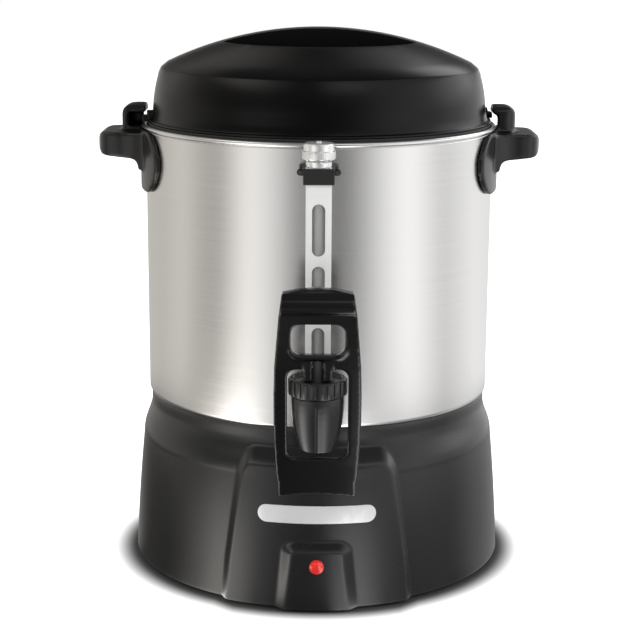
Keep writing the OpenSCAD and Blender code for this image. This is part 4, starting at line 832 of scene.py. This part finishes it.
def makeBase():
    s = baseSizes
    foot, wall, e = s["footZ"], s["wall"], s["roundEdge"]
    heights = stepsOf([(foot + e, s["footRow"])] + s["rows"] + [(tankLow, 1)])
    inner = [(s["shelfRadius"], tankLow), (s["shelfRadius"], tankLow - wall),
             (s["neckRadius"] - wall, tankLow - wall)]
    inner += [(skirtRadius(z) - wall, z) for z in s["innerRows"]]
    inner += [(s["flangeRadius"], foot + wall), (s["flangeRadius"], foot)]
    verts = []
    turns = stepsOf(s["turns"])
    for d in turns:
        a = math.radians(d)
        footRadius = baseRadius(a, foot)
        ring = [(footRadius - e, foot), (footRadius - 0.3 * e, foot + 0.3 * e)]
        ring += [(baseRadius(a, z), z) for z in heights]
        ring += [(s["neckRadius"] - 0.2, tankLow)] + inner
        verts += [(r * math.sin(a) * mm, -r * math.cos(a) * mm, z * mm) for r, z in ring]
    base = meshFrom("baseMoulding", verts, columnFaces(len(turns), len(ring)))
    low, high = span("power_inlet", 2)
    pad = inletPad
    cutWith(base, boxMesh("opening", (-pad["holeHalf"], pad["holeSpan"][0], low + pad["holeRim"]),
                          (pad["holeHalf"], pad["holeSpan"][1], high - pad["holeRim"])))
    hole, (start, end) = lampSizes["holeRadius"], lampSizes["holeSpan"]
    lens = lathe("lensHole", [(0, start), (hole, start), (hole, end), (0, end)], sides=32)
    lens.data.transform(Matrix.Translation((0, 0, pilotZ * mm)) @ turned(90, "X"))
    cutWith(base, lens)
    standIn(sharpen(base, 38), "basePlastic", "urn", "base_plastic", "base_shell")


makeBase()
print("base made")

# lid

lidSizes = {"skirt": [(108.7, 0.0), (108.3, 6.0), (107.8, 12.3), (106.9, 18.5), (105.9, 23.2), (104.4, 29.0)],
            "crease": (102.8, 32.7), "creaseRound": 1.0, "chamfer": 98.4, "domeRadius": 230.0, "domeRows": 16,
            "wall": 2.5, "scoopRadius": 63.0, "scoopDepth": 28.0, "scoopCorner": 5.0, "scoopSteps": 72,
            "gripWidth": 26.0, "flange": 111.8, "flangeTop": 1.3, "flangeFillet": 0.6, "plugRadius": 108.0,
            "innerRows": (74, 84, 92, 96), "softEdge": 1.3, "sealGap": 0.3, "sides": 224,
            "scoopOver": 20.0}
lugSizes = {"width": 10.0, "angle": 8.9, "round": 0.7, "topWidth": 0.68, "rooted": 2.0,
            "steps": [{"reach": 115.4, "height": 4.1, "cut": 0.45},
                      {"reach": 112.2, "height": 7.0, "cut": 0.25}]}


def lidProfile(low, top, foot):
    s = lidSizes
    plug, wall, chamfer = s["plugRadius"], s["wall"], s["chamfer"]
    flangeTop = foot + s["flangeTop"]

    def dome(r, inset=0.0):
        return top - s["domeRadius"] + math.sqrt((s["domeRadius"] - inset) ** 2 - r * r)

    skirt = [(r, flangeTop + h) for r, h in s["skirt"]]
    crease = (s["crease"][0], flangeTop + s["crease"][1])
    corner = roundCorners([skirt[-1], crease, (chamfer, dome(chamfer))], s["creaseRound"], 5)
    flange = roundCorners([(plug, foot), (s["flange"], foot), (s["flange"], flangeTop),
                           (skirt[0][0] + s["flangeFillet"], flangeTop + 0.1), skirt[1]],
                          [0, 0.5, 0.5, 0.8, 0], 3)
    profile = [(plug - wall, low), (plug, low)] + flange + skirt[2:-1] + corner
    rows = [chamfer * (1 - i / s["domeRows"]) for i in range(1, s["domeRows"])]
    profile += [(r, dome(r)) for r in rows] + [(0.0, top)]
    under = top - s["scoopDepth"] - wall
    thick = s["scoopRadius"] + wall
    profile += [(0.0, under), (thick, under)]
    profile += [(r, dome(r, wall)) for r in (thick, *s["innerRows"])]
    return profile + [(r - wall, z - 1) for r, z in reversed(skirt[1:])]


def cutScoop(lid, side, top):
    # one half of the round recess, left of or right of the grip bar
    s = lidSizes
    reach, last = s["scoopRadius"], s["scoopSteps"]
    start = math.asin(s["gripWidth"] / 2 / reach)
    turns = [mix(start, math.pi - start, i / last) for i in range(last + 1)]
    arc = [(reach * math.cos(a), side * reach * math.sin(a)) for a in turns]
    radii = [s["scoopCorner"] if i in (0, last) else 0 for i in range(last + 1)]
    outline = roundCorners(arc, radii, 6, True)
    cutWith(lid, prism("scoop", outline, top - s["scoopDepth"], top + s["scoopOver"]))


def makeLug(turn, step, foot):
    s = lugSizes
    w, h = s["width"] / 2, step["height"]
    side, flat = h * (1 - step["cut"]), w * s["topWidth"]
    outline = [(-w, 0), (w, 0), (w, side), (flat, h), (-flat, h), (-w, side)]
    lug = prism("lug", outline, lidSizes["skirt"][2][0] - s["rooted"], step["reach"], "X")
    lug.data.transform(turned(turn + s["angle"], "Z") @ Matrix.Translation((0, 0, foot * mm)))
    return sharpen(bevelEdges(lug, s["round"], 3), 40)


def makeLid():
    low, top = span("lid_shell", 2)
    foot = span("lid_seal", 2)[1] + lidSizes["sealGap"]
    lid = lathe("lidMoulding", lidProfile(low, top, foot), sides=lidSizes["sides"], closed=True)
    for side in (-1, 1):
        cutScoop(lid, side, top)
    sharpen(bevelEdges(lid, lidSizes["softEdge"], 4, 50), 40)
    lugs = [makeLug(turn, step, foot) for turn in (0.0, 180.0) for step in lugSizes["steps"]]
    standIn(joinPieces("lidMoulding", [lid] + lugs), "lidPlastic", "lid", "lid_plastic", "lid_shell")


makeLid()
print("lid made")

# handles, lever and tap

mouldings = {
    "handleLeft": {"node": "handle_left", "voxel": 0.8, "rounds": 22, "finish": "handlePlastic",
                   "slot": "handle_plastic", "body": "urn"},
    "handleRight": {"node": "handle_right", "voxel": 0.8, "rounds": 22, "finish": "handlePlastic",
                    "slot": "handle_plastic", "body": "urn"},
    "tapBody": {"node": "tap_body", "voxel": 0.5, "rounds": 4, "finish": "tapPlastic",
                "slot": "tap_plastic", "body": "urn"},
    "gaugeCollar": {"node": "gauge_collar", "voxel": 0.35, "rounds": 3, "finish": "collarPlastic",
                    "slot": "collar_plastic", "body": "urn"},
    "lever": {"node": "lever", "voxel": 0.6, "rounds": 9, "finish": "leverPlastic",
              "slot": "lever_plastic", "body": "lever"},
}

for pieceName, s in mouldings.items():
    piece = softCopy(s["node"], pieceName + "Moulding", s["voxel"], s["rounds"])
    standIn(piece, s["finish"], s["body"], s["slot"], s["node"])
print("handles, lever and tap made")

# metal and small pieces

edgedNodes = {
    "gaugeShield": {"node": "gauge_shield", "width": 0.55, "finish": "shieldAluminium",
                    "slot": "shield_metal"},
    "badgePlate": {"node": "badge_plate", "width": 0.22, "finish": "badgeMetal", "slot": "badge_metal"},
    "powerInlet": {"node": "power_inlet", "width": 0.35, "finish": "inletPlastic", "slot": "inlet_plastic"},
}

for pieceName, s in edgedNodes.items():
    # the node with its sharp edges rounded over
    piece = bevelEdges(copyNode(s["node"], pieceName, 0.6), s["width"], 3, 32)
    standIn(sharpen(piece, 45), s["finish"], "urn", s["slot"], s["node"])


def ringTree():
    # copies of one rib stood round a circle
    tree, start, end = newGroup("ribRing", {"Rib": "Object", "Count": "Int", "Radius": "Float",
                                            "Centre": "Vector", "Finish": "Material"},
                                {"Geometry": "Geometry"}, "GeometryNodeTree")
    circle = addNode(tree, "GeometryNodeMeshCircle", Vertices=start["Count"], Radius=start["Radius"])
    rib = addNode(tree, "GeometryNodeObjectInfo", Object=start["Rib"])
    place = addNode(tree, "GeometryNodeInputPosition")
    aim = addNode(tree, "FunctionNodeAlignRotationToVector", axis="X", Vector=place.outputs[0])
    copies = addNode(tree, "GeometryNodeInstanceOnPoints", Points=circle.outputs[0],
                     Instance=rib.outputs["Geometry"], Rotation=aim.outputs[0])
    move = addNode(tree, "GeometryNodeTransform", Geometry=copies.outputs[0], Translation=start["Centre"])
    real = addNode(tree, "GeometryNodeRealizeInstances", Geometry=move.outputs[0])
    finish = addNode(tree, "GeometryNodeSetMaterial", Geometry=real.outputs[0], Material=start["Finish"])
    fillNode(tree, end, {"Geometry": finish.outputs[0]})
    return tree


ribRing = ringTree()


def ringOf(name, rib, count, radius, centre, finish):
    piece = newObject(name, bpy.data.meshes.new(name))
    m = piece.modifiers.new("Ring", "NODES")
    m.node_group = ribRing
    values = {"Rib": rib, "Count": count, "Radius": radius * mm, "Centre": [c * mm for c in centre],
              "Finish": finishes[finish]}
    for item in ribRing.interface.items_tree:
        if item.in_out == "INPUT":
            m[item.identifier] = values[item.name]
    applyModifiers(piece)
    bpy.data.objects.remove(rib)
    return sharpen(piece, 45)


def ribBar(width, depth, height, edge):
    bar = boxMesh("rib", (-depth, -width / 2, -height / 2), (depth, width / 2, height / 2))
    return bevelEdges(bar, edge, 2)


def middle(low, high):
    return (low[0] + high[0]) / 2 / mm, (low[1] + high[1]) / 2 / mm


# rim is (in from the outer radius, down from the top), and slope is (in, up from the dish)
bonnetSizes = {"ribs": 22, "ribWidth": 3.3, "ribDepth": 0.75, "ribShort": 1.6, "ribDrop": 0.3, "edge": 0.5,
               "bore": 13.6, "dish": 3.3, "dishFloor": 2.7, "stemHole": 3.6, "rim": (2.0, 0.4),
               "slope": (4.0, 0.8), "slopeFoot": 6.4, "sides": 96,
               "rounds": [0, 0.6, 0.8, 0.8, 1.0, 1.0, 0.2, 0, 0]}


def makeBonnet():
    s = bonnetSizes
    low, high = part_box("bonnet")
    centre = middle(low, high)
    r = (high[0] - low[0]) / 2 / mm - s["ribDepth"]
    z, top = low[2] / mm, high[2] / mm
    dish = top - s["dish"]
    under = dish - s["dishFloor"]
    (rimIn, rimDrop), (slopeIn, slopeRise) = s["rim"], s["slope"]
    corners = [(s["bore"], z), (r, z), (r, top - rimDrop), (r - rimIn, top), (r - slopeIn, dish + slopeRise),
               (r - s["slopeFoot"], dish), (s["stemHole"], dish), (s["stemHole"], under), (s["bore"], under)]
    profile = roundCorners(corners, s["rounds"], 4, True)
    body = sharpen(lathe("bonnetRing", profile, centre, s["sides"], True), 40)
    rib = ribBar(s["ribWidth"], s["ribDepth"], top - z - s["ribShort"], s["edge"])
    ribs = ringOf("bonnetRibs", rib, s["ribs"], r, (*centre, (top + z) / 2 - s["ribDrop"]), "tapPlastic")
    ring = joinPieces("bonnetRing", [body, ribs])
    standIn(sharpen(ring, 40), "tapPlastic", "urn", "tap_plastic", "bonnet")


capSizes = {"barrelRadius": 8.95, "ringRadius": 9.8, "neckRadius": 7.6, "neckTop": 3.2, "ringLow": 5.0,
            "ringTop": 9.6, "nub": 1.7, "nubFoot": 0.5, "nubTop": 0.8, "nubHeight": 1.0, "lean": 0.1,
            "knurls": 60, "knurlWidth": 0.55, "knurlDepth": 0.16, "knurlShort": 0.5, "knurlEdge": 0.1,
            "sides": 96, "rounds": [0, 0.4, 0.4, 0.4, 0.3, 0.3, 0.9, 0.2, 0.2, 0.4, 0]}


def makeGaugeCap():
    s = capSizes
    low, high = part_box("gauge_cap")
    centre = middle(low, high)
    z, top = low[2] / mm, high[2] / mm
    ring, barrel, neck, nub, lean = (s["ringRadius"] - s["knurlDepth"], s["barrelRadius"], s["neckRadius"],
                                     s["nub"], s["lean"])
    flat = top - s["nubHeight"]
    outline = [(0.0, z), (neck, z), (neck, z + s["neckTop"]), (ring, z + s["ringLow"]),
               (ring, z + s["ringTop"] - lean), (barrel, z + s["ringTop"] + 2 * lean), (barrel, flat - lean),
               (nub + s["nubFoot"], flat + lean), (nub, flat + 2 * lean), (nub * s["nubTop"], top),
               (0.0, top)]
    cap = lathe("gaugeCap", roundCorners(outline, s["rounds"]), centre, s["sides"])
    height = s["ringTop"] - s["ringLow"] - s["knurlShort"]
    rib = ribBar(s["knurlWidth"], s["knurlDepth"], height, s["knurlEdge"])
    knurl = ringOf("capKnurl", rib, s["knurls"], ring, (*centre, z + (s["ringLow"] + s["ringTop"]) / 2),
                   "capMetal")
    cap = joinPieces("gaugeCap", [sharpen(cap, 40), knurl])
    standIn(sharpen(cap, 40), "capMetal", "urn", "cap_metal", "gauge_cap")


# shares of the lens's radius and depth
lensSizes = {"facets": 14,
             "rings": [(1.0, 0.0), (1.0, 0.4), (0.86, 0.72), (0.6, 0.92), (0.3, 1.0), (0.0, 1.0)]}


def makeLens():
    s = lensSizes
    low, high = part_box("pilot_lens")
    r = (high[0] - low[0]) / 2 / mm
    deep = (high[1] - low[1]) / mm
    profile = [(0.0, 0.0)] + [(r * a, deep * b) for a, b in s["rings"]]
    lens = shade(lathe("pilotLens", profile, sides=s["facets"]), False)
    lens.data.transform(Matrix.Translation((0, high[1], (low[2] + high[2]) / 2)) @ turned(90, "X"))
    standIn(lens, "lensRed", "urn", "lens_red", "pilot_lens")


makeBonnet()
makeGaugeCap()
makeLens()
print("metal and small pieces made")
